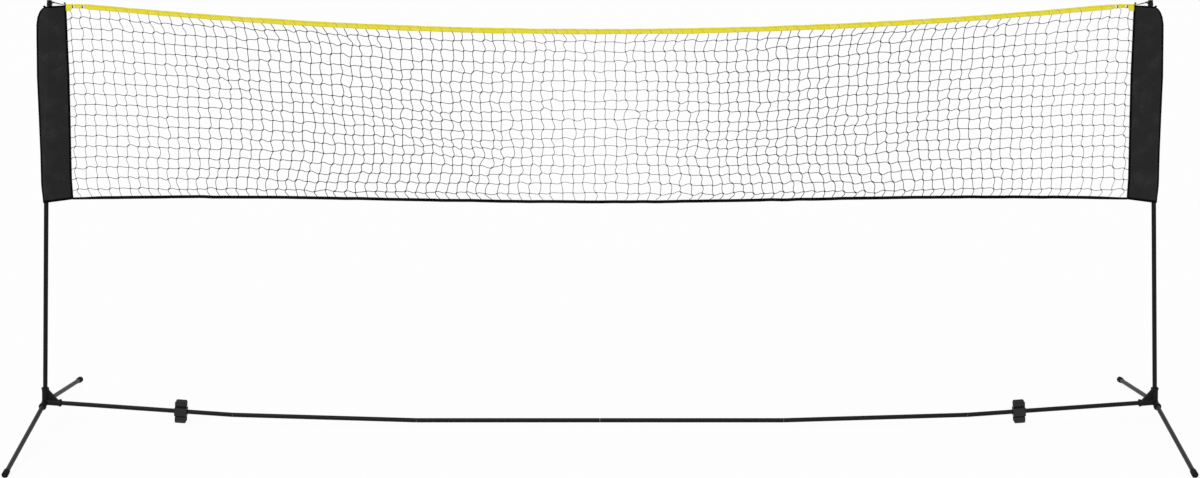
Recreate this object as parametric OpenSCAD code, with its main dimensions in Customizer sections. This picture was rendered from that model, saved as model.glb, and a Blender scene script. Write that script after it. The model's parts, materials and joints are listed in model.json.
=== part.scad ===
// Portable garden net on two poles: plug-together tubes, corner hubs, a fabric sleeve on each pole,
// and a mesh net hung between a top tape and a bottom tape.
// Everything is drawn on the left side, where +X points to the middle of the net, and mirrored for the right.

/* [Tubes] */
// Outside diameter of every tube
tube_d = 16; // [14:0.5:22]
// Wall of the steel tubes
tube_wall = 0.9; // [0.7:0.1:1.2]
// Length of one floor rail tube
rail_tube_l = 663; // [500:1:700]
// Height of the middle of the rail above the floor, from its underside
rail_lift = 16; // [12:0.5:18]
// Slope of the middle rail tube, in degrees
rail_middle_slope = 1.8; // [1.4:0.1:2.2]
// Slope of the outer rail tube, which the hub shares, in degrees
rail_outer_slope = 4.2; // [3.8:0.1:4.6]
// Length of the lower pole tube
pole_lower_l = 742; // [700:1:800]
// Length of the upper pole tube
pole_upper_l = 690; // [689:1:740]
// Lean of the upper pole tube towards the net, in degrees
pole_upper_lean = 4.8; // [4.4:0.1:5.2]
// Half the gap that shows where two tubes meet
joint_gap = 0.4; // [0.35:0.05:0.6]
// Depth of a joiner in each of its two tubes
joiner_reach = 35; // [20:1:40]
// Wall of a joiner
joiner_wall = 1.2; // [0.8:0.1:2]
// Least air round a joiner in its tubes, on the radius
joiner_gap = 0.15; // [0.12:0.01:0.3]
// Gap between pieces that lie against each other
seat_gap = 0.3; // [0.25:0.05:0.5]

/* [Corner hub] */
// Distance from the hub's centre to the end of each plugged tube
tube_stop = 12; // [11:0.5:15]
// Clearance of a tube in its socket, on the radius
socket_gap = 0.1; // [0.05:0.05:0.3]
// Wall of the sockets
socket_wall = 3.6; // [2.5:0.1:5]
// Reach of the pole socket from the hub's centre
pole_socket_l = 54; // [45:1:65]
// Reach of the rail socket from the hub's centre
rail_socket_l = 58; // [45:1:65]
// Reach of the leg sockets from the hub's centre
leg_socket_l = 40; // [32:1:50]
// Height of the raised rim round a socket's mouth
rim_h = 7; // [4:0.5:10]
// How far the rim stands out from its socket
rim_out = 1.8; // [1:0.1:3]
// How much thinner the sockets are at the hub's centre, on the radius
socket_taper = 0.5; // [0:0.1:1]
// Thickness of the gusset between pole and rail socket
gusset_t = 9; // [6:0.5:14]
// How far the gusset stops short of the rail socket's rim
gusset_setback = 5; // [0:0.5:10]

/* [Legs] */
// Length of a leg, from the hub's centre to the end of its foot
leg_l = 520; // [420:1:600]
// Radius of a rubber foot
foot_r = 11.2; // [10:0.1:12]
// How much thinner the foot is at its collar, on the radius
foot_taper = 0.6; // [0:0.1:0.8]
// Length of a rubber foot
foot_l = 30; // [24:1:45]
// Rubber in front of the tube's end
foot_end_t = 4; // [3:0.5:8]
// Share of the foot, from its end, that has its full radius
foot_full = 0.6; // [0.4:0.05:0.8]
// Rounding of the foot's end
foot_round = 3; // [2:0.5:3.5]
// Depth of the flat sole cut into the foot
sole_cut = 1.2; // [0.8:0.1:1.6]

/* [Rail clip] */
// Distance of a clip's middle from the hub's centre, along the rail
clip_place = 489; // [487:1:560]
// Half the height of a clip, from the rail's axis to the lips
clip_half_h = 41; // [39.5:0.5:43]
// Width of the block round the rail
clip_block_w = 44; // [42:1:54]
// Height of the block round the rail
clip_block_h = 30; // [26:1:32]
// Depth of the block, front to back
clip_block_d = 34; // [28:1:40]
// Corner rounding of the block
clip_block_round = 4; // [2:0.5:6]
// Width of the jaws
clip_jaw_w = 41; // [30:1:42]
// Wall of the jaws
clip_jaw_wall = 3; // [2:0.1:3.2]
// Gap between a jaw's ring and the block, which the neck bridges
clip_neck_h = 0.5; // [0.2:0.1:1]
// Width of that neck, front to back
clip_neck_w = 12; // [8:0.5:16]
// Half the mouth of a jaw, in degrees from its middle
clip_mouth = 55; // [46:1:62]
// Sideways flare of the lips
clip_flare = 3.5; // [2:0.5:5]
// How far the lips' corners are cut back, to round them
clip_corner = 8; // [4:0.5:9]
// Running clearance of the clip on the rail, on the radius
clip_gap = 0.06; // [0.03:0.01:0.1]

/* [Sleeve] */
// Height of the sleeve, from its lower outer corner to its top edge
sleeve_l = 695; // [600:1:730]
// Gap between the cap's skirt and the sleeve's top edge
sleeve_below_cap = 1.1; // [0.8:0.1:10]
// Width of the sleeve at the bottom
sleeve_bottom_w = 105; // [90:1:130]
// Width of the sleeve at the top, without its rounded shoulder
sleeve_top_w = 105; // [96:1:130]
// How far the net's edge of the sleeve leans in from bottom to top
sleeve_net_lean = 21; // [12:1:30]
// How far the fabric stands out behind the pole's axis at the bottom
sleeve_back = 11.8; // [11.2:0.1:20]
// How far the fabric stands out behind the pole's axis at the top
sleeve_top_back = 11; // [10.6:0.1:20]
// Rise of the bottom hem from pole to net, as a slope
sleeve_hem_rise = 0.12; // [0:0.01:0.2]
// Height of the rounded top shoulder
sleeve_shoulder_h = 75; // [40:1:110]
// Fabric thickness
sleeve_wall = 1.2; // [0.8:0.1:2]
// Air between the fabric and the pole
sleeve_gap = 0.5; // [0.3:0.1:1.5]
// Half the thickness of the sleeve's side edges
sleeve_edge_r = 2.3; // [2.1:0.1:3.5]

/* [Tapes] */
// How far below the sleeve's top edge the top tape's middle line ends
top_tape_below = 1; // [0:0.5:14]
// Sag of the top tape, from the place where its ends begin to drop
top_tape_sag = 81; // [40:1:90]
// Exponent of the sag curve, 2 for a parabola
sag_power = 2; // [1.6:0.05:2.2]
// How far the tape's ends drop below the sag curve
tape_end_drop = 8; // [0:0.5:12]
// Length of the stretch that drops
tape_drop_l = 130; // [60:5:200]
// Height of the top tape at its ends
top_tape_end_h = 18; // [16:0.5:22]
// Height of the top tape at the centre
top_tape_mid_h = 18.5; // [16:0.5:22]
// Wall of the folded tapes
tape_wall = 1; // [0.6:0.1:1.5]
// Fold of webbing above the cord
tape_fold = 2.4; // [1.5:0.1:3]
// How far above the sleeve's lower corner the bottom tape's middle line ends
bottom_tape_above = 20; // [16:0.5:40]
// Rise of the bottom tape towards its crest
bottom_tape_rise = 18; // [0:1:30]
// Distance of that crest from the centre
bottom_crest_x = 1390; // [1000:10:1700]
// Height of the bottom tape
bottom_tape_h = 11; // [9.5:0.5:14]

/* [Net] */
// Thickness of the net's twine
twine = 2; // [1.4:0.1:2.4]
// Gaps along the net
mesh_columns = 42; // [20:1:42]
// Gaps down the net
mesh_rows = 7; // [4:1:7]
// How far the net's edge reaches into the tapes
net_tuck = 4.4; // [3:0.1:4.8]

/* [Cord and eyelets] */
// Diameter of the top cord
cord_d = 2.5; // [1.8:0.1:2.8]
// Clearance round the cord and the net inside the tapes
lay_gap = 0.3; // [0.2:0.05:0.5]
// Diameter of the knot beside the pole
knot_d = 6.4; // [5:0.1:8]
// Clearance of the cord's loop round the cap's neck, on the radius
loop_gap = 0.15; // [0.1:0.05:0.3]
// Clearance of the cord in the knot's bore, on the radius
knot_gap = 0.2; // [0.1:0.05:0.3]
// Hole of an eyelet
eyelet_hole_d = 6; // [4.5:0.1:6.5]
// Flange diameter of an eyelet
eyelet_d = 12.6; // [10:0.1:15]
// Metal thickness of an eyelet
eyelet_t = 0.8; // [0.5:0.1:1]
// Clearance between an eyelet and the tape
eyelet_gap = 0.1; // [0.05:0.05:0.2]
// Distance of the first eyelet from the tape's end
eyelet_first = 28; // [20:1:34]
// Distance between the two eyelets
eyelet_pitch = 33; // [20:1:60]

/* [Pole cap] */
// Radius of the cap's skirt and head
cap_r = 9; // [8.6:0.1:11.6]
// Length of the skirt over the tube
cap_skirt_l = 9; // [5:0.5:9]
// Radius of the neck that the cord is tied round
cap_neck_r = 5.5; // [4:0.1:6]
// Height of the neck
cap_neck_h = 4; // [3.4:0.1:6]
// Height of the head above the neck
cap_head_h = 4; // [2:0.5:6]
// Radius of the knob on top
cap_knob_r = 3; // [2:0.1:5]
// Height of the knob
cap_knob_h = 2.4; // [1:0.1:4]
// Thickness of the cap over the tube's end
cap_top_t = 2; // [1.2:0.1:4]
// Clearance of the cap and the feet on their tubes, on the radius
cap_gap = 0.1; // [0.05:0.05:0.2]
// Rounding of the cap's edges
cap_edge = 0.5; // [0.2:0.1:0.6]

/* [Hidden] */

$fn = 64;
tube_r = tube_d / 2;
bore_r = tube_r - tube_wall;
socket_r = tube_r + socket_gap;
hub_tilt = rail_outer_slope;
// How far a solid that cuts, or that runs into another of the same piece, reaches past its face.
past = 1;

// Joints of the rail as [x, z], from the middle out to the hub, which ends up where the tubes put it.
function along(p, length, slope) = [p[0] - length * cos(slope), p[1] + length * sin(slope)];
rail_mid = [0, rail_lift + tube_r];
rail_joint_2 = along(rail_mid, rail_tube_l, 0);
rail_joint_1 = along(rail_joint_2, rail_tube_l, rail_middle_slope);
hub_c = along(rail_joint_1, rail_tube_l + tube_stop, rail_outer_slope);

// The pole from the hub up, as [x, z].
function up(p, length, lean) = [p[0] + length * sin(lean), p[1] + length * cos(lean)];
pole_joint = up(hub_c, tube_stop + pole_lower_l, hub_tilt);
pole_top = up(pole_joint, pole_upper_l, pole_upper_lean);
function pole_x(z) = z < pole_joint[1]
    ? hub_c[0] + (z - hub_c[1]) * tan(hub_tilt)
    : pole_joint[0] + (z - pole_joint[1]) * tan(pole_upper_lean);

// A joiner lies on the line that halves the bend, so its radius leaves room for the half angle at its ends.
max_bend = max(rail_outer_slope - rail_middle_slope, rail_middle_slope, pole_upper_lean - hub_tilt);
joiner_r = bore_r - joiner_reach * sin(max_bend / 2) - joiner_gap;

// The leg's slope brings the underside of the foot sole_cut below the floor, where it is cut flat.
function leg_drop(guess, passes) = passes == 0 ? guess
    : leg_drop(asin((hub_c[1] + sole_cut - foot_r * cos(guess))
                    / ((leg_l - foot_round) * cos(hub_tilt))), passes - 1);
leg_slope = leg_drop(8, 4);

// A clip's bore runs on the rail tube. Each jaw holds a tube of the same diameter.
clip_bore_r = tube_r + clip_gap;
jaw_r = tube_r;
jaw_z = clip_block_h / 2 + clip_neck_h + jaw_r + clip_jaw_wall;
// The disc that rounds the lips' corners reaches a little past their edges, and so meets them at an angle.
corner_disc_r = 1.05 * clip_corner;

// The sleeve hangs under the cap. Its two side edges are given as x for a height z.
skirt_low_z = pole_top[1] - cap_skirt_l * cos(pole_upper_lean) - cap_r * sin(pole_upper_lean);
sleeve_top_z = skirt_low_z - sleeve_below_cap;
sleeve_bottom_z = sleeve_top_z - sleeve_l;
sleeve_back_x = pole_x(sleeve_bottom_z) - sleeve_back;
sleeve_net_x = sleeve_back_x + sleeve_bottom_w;
sleeve_top_back_x = sleeve_net_x + sleeve_net_lean - sleeve_top_w;
sleeve_shoulder_w = pole_x(sleeve_top_z) - sleeve_top_back - sleeve_top_back_x;
function sleeve_t(z) = (z - sleeve_bottom_z) / sleeve_l;
function shoulder_in(z) = let (t = min(1, max(0, 1 - (sleeve_top_z - z) / sleeve_shoulder_h)))
    sleeve_shoulder_w * (1 - sqrt(1 - t * t));
function sleeve_outer(z) = sleeve_back_x + sleeve_t(z) * (sleeve_top_back_x - sleeve_back_x) + shoulder_in(z);
function sleeve_inner(z) = sleeve_net_x + sleeve_t(z) * sleeve_net_lean;

// The two tapes' middle lines and the net's edges, as z for a place x.
tape_end_x = sleeve_inner(sleeve_top_z) + seat_gap;
sag_x = -tape_end_x - tape_drop_l;
function end_drop(x) = let (t = max(0, (abs(x) - sag_x) / tape_drop_l)) tape_end_drop * t * t;
function top_rise(x) = top_tape_sag * pow(abs(x) / sag_x, sag_power) - end_drop(x);
function top_line(x) = sleeve_top_z - top_tape_below + top_rise(x) - top_rise(tape_end_x);
function top_tape_h(x) = top_tape_mid_h + (top_tape_end_h - top_tape_mid_h) * pow(x / tape_end_x, 2);
bottom_end_z = sleeve_bottom_z + bottom_tape_above;
bottom_end_x = sleeve_inner(bottom_end_z) + seat_gap;
function bottom_rise(x) = bottom_tape_rise * pow(sin(90 * abs(x) / bottom_crest_x), 2);
function bottom_line(x) = bottom_end_z + bottom_rise(x) - bottom_rise(bottom_end_x);
function cord_z(x) = top_line(x) + top_tape_h(x) / 2 - tape_fold - lay_gap - cord_d / 2;
function net_top(x) = top_line(x) - top_tape_h(x) / 2 + net_tuck;
function net_bottom(x) = bottom_line(x) + bottom_tape_h / 2 - net_tuck;
top_slot = cord_d + 2 * lay_gap;
bottom_slot = twine + 2 * lay_gap;

// Where the cord goes round the cap, measured up from the tube's end, where its knot hangs beside the cap,
// and how far short of the knot's centre the cord ends.
neck_z = cap_top_t + cap_neck_h / 2;
loop_r = cap_neck_r + loop_gap + cord_d / 2;
knot_x = cap_r + 2 * seat_gap + knot_d / 2;
cord_short = knot_d / 6;

module at_side(side) {
    if (side == "right") mirror([1, 0, 0]) children();
    else children();
}

// The hub's own frame: +Z up the pole, +X down the rail.
module in_hub() {
    translate([hub_c[0], 0, hub_c[1]]) rotate([0, hub_tilt, 0]) children();
}

// A leg's own frame: +Z out along the leg, from the hub's centre.
module in_leg(front) {
    in_hub() rotate([(front ? 1 : -1) * (90 + leg_slope), 0, 0]) children();
}

// A frame at a point of the side view, with +X down the slope.
module in_rail(p, slope) {
    translate([p[0], 0, p[1]]) rotate([0, slope, 0]) children();
}

module in_pole_top() {
    translate([pole_top[0], 0, pole_top[1]]) rotate([0, pole_upper_lean, 0]) children();
}

// A tube along +Z, from one height to another.
module tube_z(from, to, r, bore) {
    translate([0, 0, from]) difference() {
        cylinder(r = r, h = to - from);
        translate([0, 0, -past]) cylinder(r = bore, h = to - from + 2 * past);
    }
}

// A tube along +X, from one place to another.
module tube_x(from, to, r, bore) {
    rotate([0, 90, 0]) tube_z(from, to, r, bore);
}

module steel_tube() {
    color([0.10, 0.10, 0.11]) children();
}

// ---- Corner hub ----

// One socket's outside along +Z: a slightly tapered barrel and the rim round its mouth.
module socket_barrel(length) {
    r = socket_r + socket_wall;
    bevel = rim_out / 2;
    cylinder(r1 = r - socket_taper, r2 = r, h = length - rim_h);
    translate([0, 0, length - rim_h]) cylinder(r = r + rim_out, h = rim_h - bevel);
    translate([0, 0, length - bevel]) cylinder(r1 = r + rim_out, r2 = r + rim_out - bevel, h = bevel);
}

module socket_bore(length) {
    translate([0, 0, tube_stop - seat_gap]) cylinder(r = socket_r, h = length);
}

module gusset() {
    r = socket_r + socket_wall - past;
    top = pole_socket_l - rim_h + past;
    end = rail_socket_l - rim_h - gusset_setback;
    rotate([90, 0, 0]) linear_extrude(gusset_t, center = true)
        polygon([[0, 0], [0, top], [r, top], [end, r], [end, 0]]);
}

module hub_at(side) {
    color([0.07, 0.07, 0.075]) at_side(side) in_hub() difference() {
        union() {
            sphere(r = socket_r + socket_wall + past);
            socket_barrel(pole_socket_l);
            rotate([0, 90, 0]) socket_barrel(rail_socket_l);
            for (turn = [1, -1]) rotate([turn * (90 + leg_slope), 0, 0]) socket_barrel(leg_socket_l);
            gusset();
        }
        socket_bore(pole_socket_l);
        rotate([0, 90, 0]) socket_bore(rail_socket_l);
        for (turn = [1, -1]) rotate([turn * (90 + leg_slope), 0, 0]) socket_bore(leg_socket_l);
    }
}

// ---- Legs and feet ----

module leg(side, front) {
    steel_tube() at_side(side) in_leg(front)
        tube_z(tube_stop, leg_l - foot_end_t - seat_gap, tube_r, bore_r);
}

// A rubber foot along +Z: a collar that swells to the foot, a bore for the tube, and a rounded end.
module foot_blank() {
    rotate_extrude() polygon(concat(
        [[0, leg_l - foot_end_t], [tube_r + cap_gap, leg_l - foot_end_t], [tube_r + cap_gap, leg_l - foot_l],
         [foot_r - foot_taper, leg_l - foot_l], [foot_r, leg_l - foot_l * foot_full]],
        [for (a = [0:18:90]) [foot_r - foot_round * (1 - cos(a)), leg_l - foot_round * (1 - sin(a))]],
        [[0, leg_l]]));
}

module foot(side, front) {
    color([0.13, 0.13, 0.135]) at_side(side) difference() {
        in_leg(front) foot_blank();
        translate([hub_c[0] - leg_l, -leg_l - foot_l, -foot_l])
            cube([2 * leg_l, 2 * (leg_l + foot_l), foot_l]);
    }
}

// ---- Floor rail ----

module rail_outer(side) {
    steel_tube() at_side(side) in_hub()
        tube_x(tube_stop, tube_stop + rail_tube_l - joint_gap, tube_r, bore_r);
}

module rail_middle(side) {
    steel_tube() at_side(side) in_rail(rail_joint_1, rail_middle_slope)
        tube_x(joint_gap, rail_tube_l - joint_gap, tube_r, bore_r);
}

module rail_inner(side) {
    steel_tube() at_side(side) in_rail(rail_joint_2, 0)
        tube_x(joint_gap, rail_tube_l - joint_gap, tube_r, bore_r);
}

module joiner() {
    tube_x(-joiner_reach, joiner_reach, joiner_r, joiner_r - joiner_wall);
}

module rail_joiners() {
    color("silver") {
        for (side = ["left", "right"]) at_side(side) {
            in_rail(rail_joint_1, (rail_outer_slope + rail_middle_slope) / 2) joiner();
            in_rail(rail_joint_2, rail_middle_slope / 2) joiner();
        }
        in_rail(rail_mid, 0) joiner();
    }
}

// ---- Rail clip ----

module rounded_block(w, h, r) {
    square([w - 2 * r, h], center = true);
    square([w, h - 2 * r], center = true);
    for (x = [-1, 1], y = [-1, 1]) translate([x * (w / 2 - r), y * (h / 2 - r)]) circle(r);
}

// One open jaw above the block: a C for a tube, with flared lips.
module jaw_profile() {
    mid_r = jaw_r + clip_jaw_wall / 2;
    lip_r = clip_jaw_wall / 2;
    lip_x = mid_r * sin(clip_mouth);
    lip_y = jaw_z + mid_r * cos(clip_mouth);
    end_x = lip_x + clip_flare;
    end_y = clip_half_h - lip_r;
    reach = norm([end_x - lip_x, end_y - lip_y]);
    across = [(end_y - lip_y) / reach * lip_r, -(end_x - lip_x) / reach * lip_r];
    difference() {
        translate([0, jaw_z]) circle(jaw_r + clip_jaw_wall);
        translate([0, jaw_z]) circle(jaw_r);
        translate([0, jaw_z]) polygon([[0, 0], [-clip_half_h * tan(clip_mouth), clip_half_h],
                                       [clip_half_h * tan(clip_mouth), clip_half_h]]);
    }
    for (s = [-1, 1]) {
        translate([s * lip_x, lip_y]) circle(lip_r);
        translate([s * end_x, end_y]) circle(lip_r);
        polygon([[s * (lip_x + across[0]), lip_y + across[1]], [s * (end_x + across[0]), end_y + across[1]],
                 [s * (end_x - across[0]), end_y - across[1]], [s * (lip_x - across[0]), lip_y - across[1]]]);
    }
    translate([-clip_neck_w / 2, clip_block_h / 2 - past]) square([clip_neck_w, clip_neck_h + 2 * past]);
}

// What is cut off one corner of the lips, seen from the front: a square without the disc that stays.
module lip_corner() {
    rotate([0, 90, 0]) linear_extrude(2 * clip_half_h, center = true)
        translate([clip_jaw_w / 2 - clip_corner, clip_half_h - clip_corner]) difference() {
            square(clip_corner + past);
            circle(corner_disc_r);
        }
}

module clip_body() {
    difference() {
        union() {
            linear_extrude(clip_block_w, center = true)
                rounded_block(clip_block_d, clip_block_h, clip_block_round);
            linear_extrude(clip_jaw_w, center = true) {
                jaw_profile();
                mirror([0, 1]) jaw_profile();
            }
        }
        cylinder(r = clip_bore_r, h = clip_block_w + 2 * past, center = true);
        for (lower = [0, 1], end = [0, 1]) mirror([0, lower, 0]) mirror([0, 0, end]) lip_corner();
    }
}

module rail_clip(side) {
    color([0.16, 0.16, 0.17]) at_side(side) in_hub()
        translate([clip_place, 0, 0]) rotate([90, 0, 90]) clip_body();
}

// ---- Poles ----

module pole_lower(side) {
    steel_tube() at_side(side) in_hub()
        tube_z(tube_stop, tube_stop + pole_lower_l - joint_gap, tube_r, bore_r);
}

module pole_upper(side) {
    steel_tube() at_side(side) translate([pole_joint[0], 0, pole_joint[1]]) rotate([0, pole_upper_lean, 0])
        tube_z(joint_gap, pole_upper_l, tube_r, bore_r);
}

module pole_joiners() {
    color("silver") for (side = ["left", "right"]) at_side(side)
        translate([pole_joint[0], 0, pole_joint[1]]) rotate([0, (hub_tilt + pole_upper_lean) / 2, 0])
            tube_z(-joiner_reach, joiner_reach, joiner_r, joiner_r - joiner_wall);
}

// A cap like a bobbin: a skirt over the tube, a neck for the cord, a head, and a small knob.
module pole_cap(side) {
    low = -cap_skirt_l;
    head_z = cap_top_t + cap_neck_h;
    top = head_z + cap_head_h;
    bevel = 2 * cap_edge;
    color([0.06, 0.06, 0.065]) at_side(side) in_pole_top() rotate_extrude() polygon([
        [0, seat_gap], [tube_r + cap_gap, seat_gap], [tube_r + cap_gap, low], [cap_r - cap_edge, low],
        [cap_r, low + cap_edge], [cap_r, cap_top_t - cap_edge], [cap_r - cap_edge, cap_top_t],
        [cap_neck_r, cap_top_t], [cap_neck_r, head_z], [cap_r - cap_edge, head_z], [cap_r, head_z + cap_edge],
        [cap_r, top - bevel], [cap_r - bevel, top],
        [cap_knob_r, top], [cap_knob_r - cap_edge, top + cap_knob_h - cap_edge], [0, top + cap_knob_h]]);
}

// ---- Fabric sleeve ----

// Half the sleeve's thickness at x: taut fabric from the round pole out to the two rounded side edges.
function half_thick(x, pole, edge, r, edge_r) =
    let (d = abs(x - pole), span = abs(edge - pole) - edge_r,
         lean = asin(min(0.99, (r - edge_r) / max(span, r - edge_r))),
         cover = d < r * sin(lean) ? sqrt(r * r - d * d) : r / cos(lean) - d * tan(lean),
         tip = abs(edge - x) < edge_r ? sqrt(max(0, 2 * edge_r * abs(edge - x) - pow(edge - x, 2))) : cover)
    max(0, min(cover, tip));

// Places round one side of a ring: 0 is the back edge, 1 the pole's axis and 2 the net edge.
ring_places = [0, 0.03, 0.12, 0.45, 0.72, 0.88, 1, 1.06, 1.14, 1.4, 1.75, 1.97, 1.995, 2];
function place_x(s, back, pole, front) = s < 1 ? back + s * (pole - back) : pole + (s - 1) * (front - pole);

// A closed ring of points at a height, inset by the fabric's thickness for the inner face.
function sleeve_ring(z, inset) =
    let (pole = pole_x(z), back = sleeve_outer(z) + inset, front = sleeve_inner(z) - inset,
         r = tube_r + sleeve_gap + sleeve_wall - inset, edge_r = sleeve_edge_r - inset,
         rise = sleeve_hem_rise * pow(1 - sleeve_t(z), 2), last = len(ring_places) - 1)
    [for (k = [0:2 * last - 1])
        let (s = ring_places[k <= last ? k : 2 * last - k], x = place_x(s, back, pole, front),
             y = half_thick(x, pole, s < 1 ? back : front, r, edge_r))
        [x, k <= last ? -y : y, z + rise * (x - pole)]];

// The hole for the pole in the closed top, with as many points as a ring.
function pole_ring(z) =
    let (ring = sleeve_ring(z, 0), pole = pole_x(z), r = tube_r + sleeve_gap)
    [for (p = ring) let (a = atan2(p[1], p[0] - pole)) [pole + r * cos(a), r * sin(a), z]];

// A closed skin through rings that each have the same number of points, from the first ring to the last,
// and back to the first where closed is true.
module ring_skin(rings, closed) {
    n = len(rings[0]);
    m = len(rings);
    sides = [for (i = [0:m - (closed ? 1 : 2)], k = [0:n - 1])
        let (next_k = (k + 1) % n, next_i = (i + 1) % m,
             a = i * n + k, b = i * n + next_k, c = next_i * n + k, d = next_i * n + next_k)
        each [[a, c, d], [a, d, b]]];
    ends = closed ? [] : [[for (k = [0:n - 1]) k], [for (k = [n - 1:-1:0]) (m - 1) * n + k]];
    polyhedron(points = [for (ring = rings) each ring], faces = concat(sides, ends), convexity = 6);
}

sleeve_levels = [0, 0.12, 0.3, 0.5, 0.7, 0.85, 0.91, 0.95, 0.975, 0.99];

module sleeve(side) {
    z_of = [for (t = sleeve_levels) sleeve_bottom_z + t * sleeve_l];
    roof_z = sleeve_top_z - sleeve_wall;
    outer = concat([for (z = z_of) sleeve_ring(z, 0)], [sleeve_ring(sleeve_top_z, 0)]);
    inner = concat([pole_ring(sleeve_top_z), pole_ring(roof_z), sleeve_ring(roof_z, sleeve_wall)],
                   [for (i = [len(z_of) - 2:-1:0]) sleeve_ring(z_of[i], sleeve_wall)]);
    color([0.15, 0.15, 0.155]) at_side(side) ring_skin(concat(outer, inner), true);
}

// ---- Tapes and net ----

// Places along a tape, from 1 at one end to -1 at the other. Their steps shrink towards the ends, the more so
// the larger end_crowding is.
tape_steps = 40;
end_crowding = 0.3;
function spread(u) = (1 + end_crowding) * u - end_crowding * pow(u, 3);
tape_xs = [for (i = [0:tape_steps]) tape_end_x * spread(1 - 2 * i / tape_steps)];

// The same places with both ends moved out, for the slot that is cut right through.
function ends_past(xs) = [for (i = [0:len(xs) - 1])
    xs[i] + (i == 0 ? -past : i == len(xs) - 1 ? past : 0)];

// A band in the side view whose lower and upper edges are lists of z, drawn as a solid of thickness t.
module band(xs, low, high, t) {
    n = len(xs) - 1;
    rotate([90, 0, 0]) linear_extrude(t, center = true)
        polygon(concat([for (i = [0:n]) [xs[i], low[i]]], [for (i = [n:-1:0]) [xs[i], high[i]]]));
}

// Webbing folded over the cord and over the net's top edge.
module top_tape() {
    wider = ends_past(tape_xs);
    hole_r = eyelet_hole_d / 2 + eyelet_t + eyelet_gap;
    color([0.92, 0.85, 0.12]) difference() {
        band(tape_xs, [for (x = tape_xs) top_line(x) - top_tape_h(x) / 2],
             [for (x = tape_xs) top_line(x) + top_tape_h(x) / 2], top_slot + 2 * tape_wall);
        band(wider, [for (x = tape_xs) top_line(x) - top_tape_h(x)],
             [for (x = tape_xs) top_line(x) + top_tape_h(x) / 2 - tape_fold], top_slot);
        for (side = ["left", "right"]) at_side(side) eyelet_places()
            cylinder(r = hole_r, h = 2 * (top_slot + 2 * tape_wall), center = true);
    }
}

bottom_xs = [for (i = [0:tape_steps]) bottom_end_x * spread(1 - 2 * i / tape_steps)];

// Webbing folded under the net's bottom edge.
module bottom_tape() {
    wider = ends_past(bottom_xs);
    slot_floor = bottom_tape_h / 2 - net_tuck - lay_gap;
    color([0.08, 0.08, 0.085]) difference() {
        band(bottom_xs, [for (x = bottom_xs) bottom_line(x) - bottom_tape_h / 2],
             [for (x = bottom_xs) bottom_line(x) + bottom_tape_h / 2], bottom_slot + 2 * tape_wall);
        band(wider, [for (x = bottom_xs) bottom_line(x) + slot_floor],
             [for (x = bottom_xs) bottom_line(x) + bottom_tape_h], bottom_slot);
    }
}

// A point of the net: i counts columns from the left, j rows from the bottom.
function net_z(x, j) = net_bottom(x) + (net_top(x) - net_bottom(x)) * j / mesh_rows;
function net_point(i, j) =
    let (u = 1 - 2 * i / mesh_columns,
         z = net_z(sleeve_net_x * u, j),
         x = (sleeve_inner(z) + seat_gap) * u)
    [x, net_z(x, j)];

// How far a gap's edge lies from the line between two rows or columns: the outermost twines are drawn whole.
function inset(k, count) = k == 0 || k == count ? twine : twine / 2;

module net() {
    outline = concat([for (i = [0:mesh_columns]) net_point(i, 0)],
                     [for (j = [1:mesh_rows]) net_point(mesh_columns, j)],
                     [for (i = [mesh_columns - 1:-1:0]) net_point(i, mesh_rows)],
                     [for (j = [mesh_rows - 1:-1:1]) net_point(0, j)]);
    gaps = [for (i = [0:mesh_columns - 1], j = [0:mesh_rows - 1])
        let (l = inset(i, mesh_columns), r = inset(i + 1, mesh_columns),
             b = inset(j, mesh_rows), t = inset(j + 1, mesh_rows))
        [net_point(i, j) + [l, b], net_point(i + 1, j) + [-r, b],
         net_point(i + 1, j + 1) + [-r, -t], net_point(i, j + 1) + [l, -t]]];
    count = len(outline);
    color([0.22, 0.22, 0.23]) rotate([90, 0, 0]) linear_extrude(twine, center = true)
        polygon(points = concat(outline, [for (g = gaps) each g]),
                paths = concat([[for (k = [0:count - 1]) k]],
                               [for (g = [0:len(gaps) - 1]) [for (k = [0:3]) count + 4 * g + k]]));
}

// ---- Cord, loops and eyelets ----

// A point of the cap's frame in the part's frame, as [x, z].
function from_cap(x, z) = [pole_top[0] + x * cos(pole_upper_lean) + z * sin(pole_upper_lean),
                           pole_top[1] - x * sin(pole_upper_lean) + z * cos(pole_upper_lean)];

// The cord leaves the knot square to the pole, runs down to the tape's end, and then along the tape's fold.
cord_sides = 8;
cord_lead = [from_cap(knot_x - cord_short, neck_z), from_cap(knot_x + knot_d / 2 + past, neck_z),
             [tape_end_x - 2 * past, cord_z(tape_end_x)]];
cord_route = concat(cord_lead, [for (x = tape_xs) [x, cord_z(x)]],
                    [for (k = [len(cord_lead) - 1:-1:0]) [-cord_lead[k][0], cord_lead[k][1]]]);

// Rings stand square to the line in the side view.
module top_cord() {
    last = len(cord_route) - 1;
    rings = [for (i = [0:last])
        let (p = cord_route[i], q = cord_route[min(last, i + 1)] - cord_route[max(0, i - 1)],
             dir = q / norm(q))
        [for (k = [0:cord_sides - 1])
            let (a = 360 * (k + 0.5) / cord_sides, v = cord_d / 2 * cos(a))
            [p[0] - dir[1] * v, cord_d / 2 * sin(a), p[1] + dir[0] * v]]];
    color([0.08, 0.08, 0.085]) ring_skin(rings, false);
}

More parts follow.
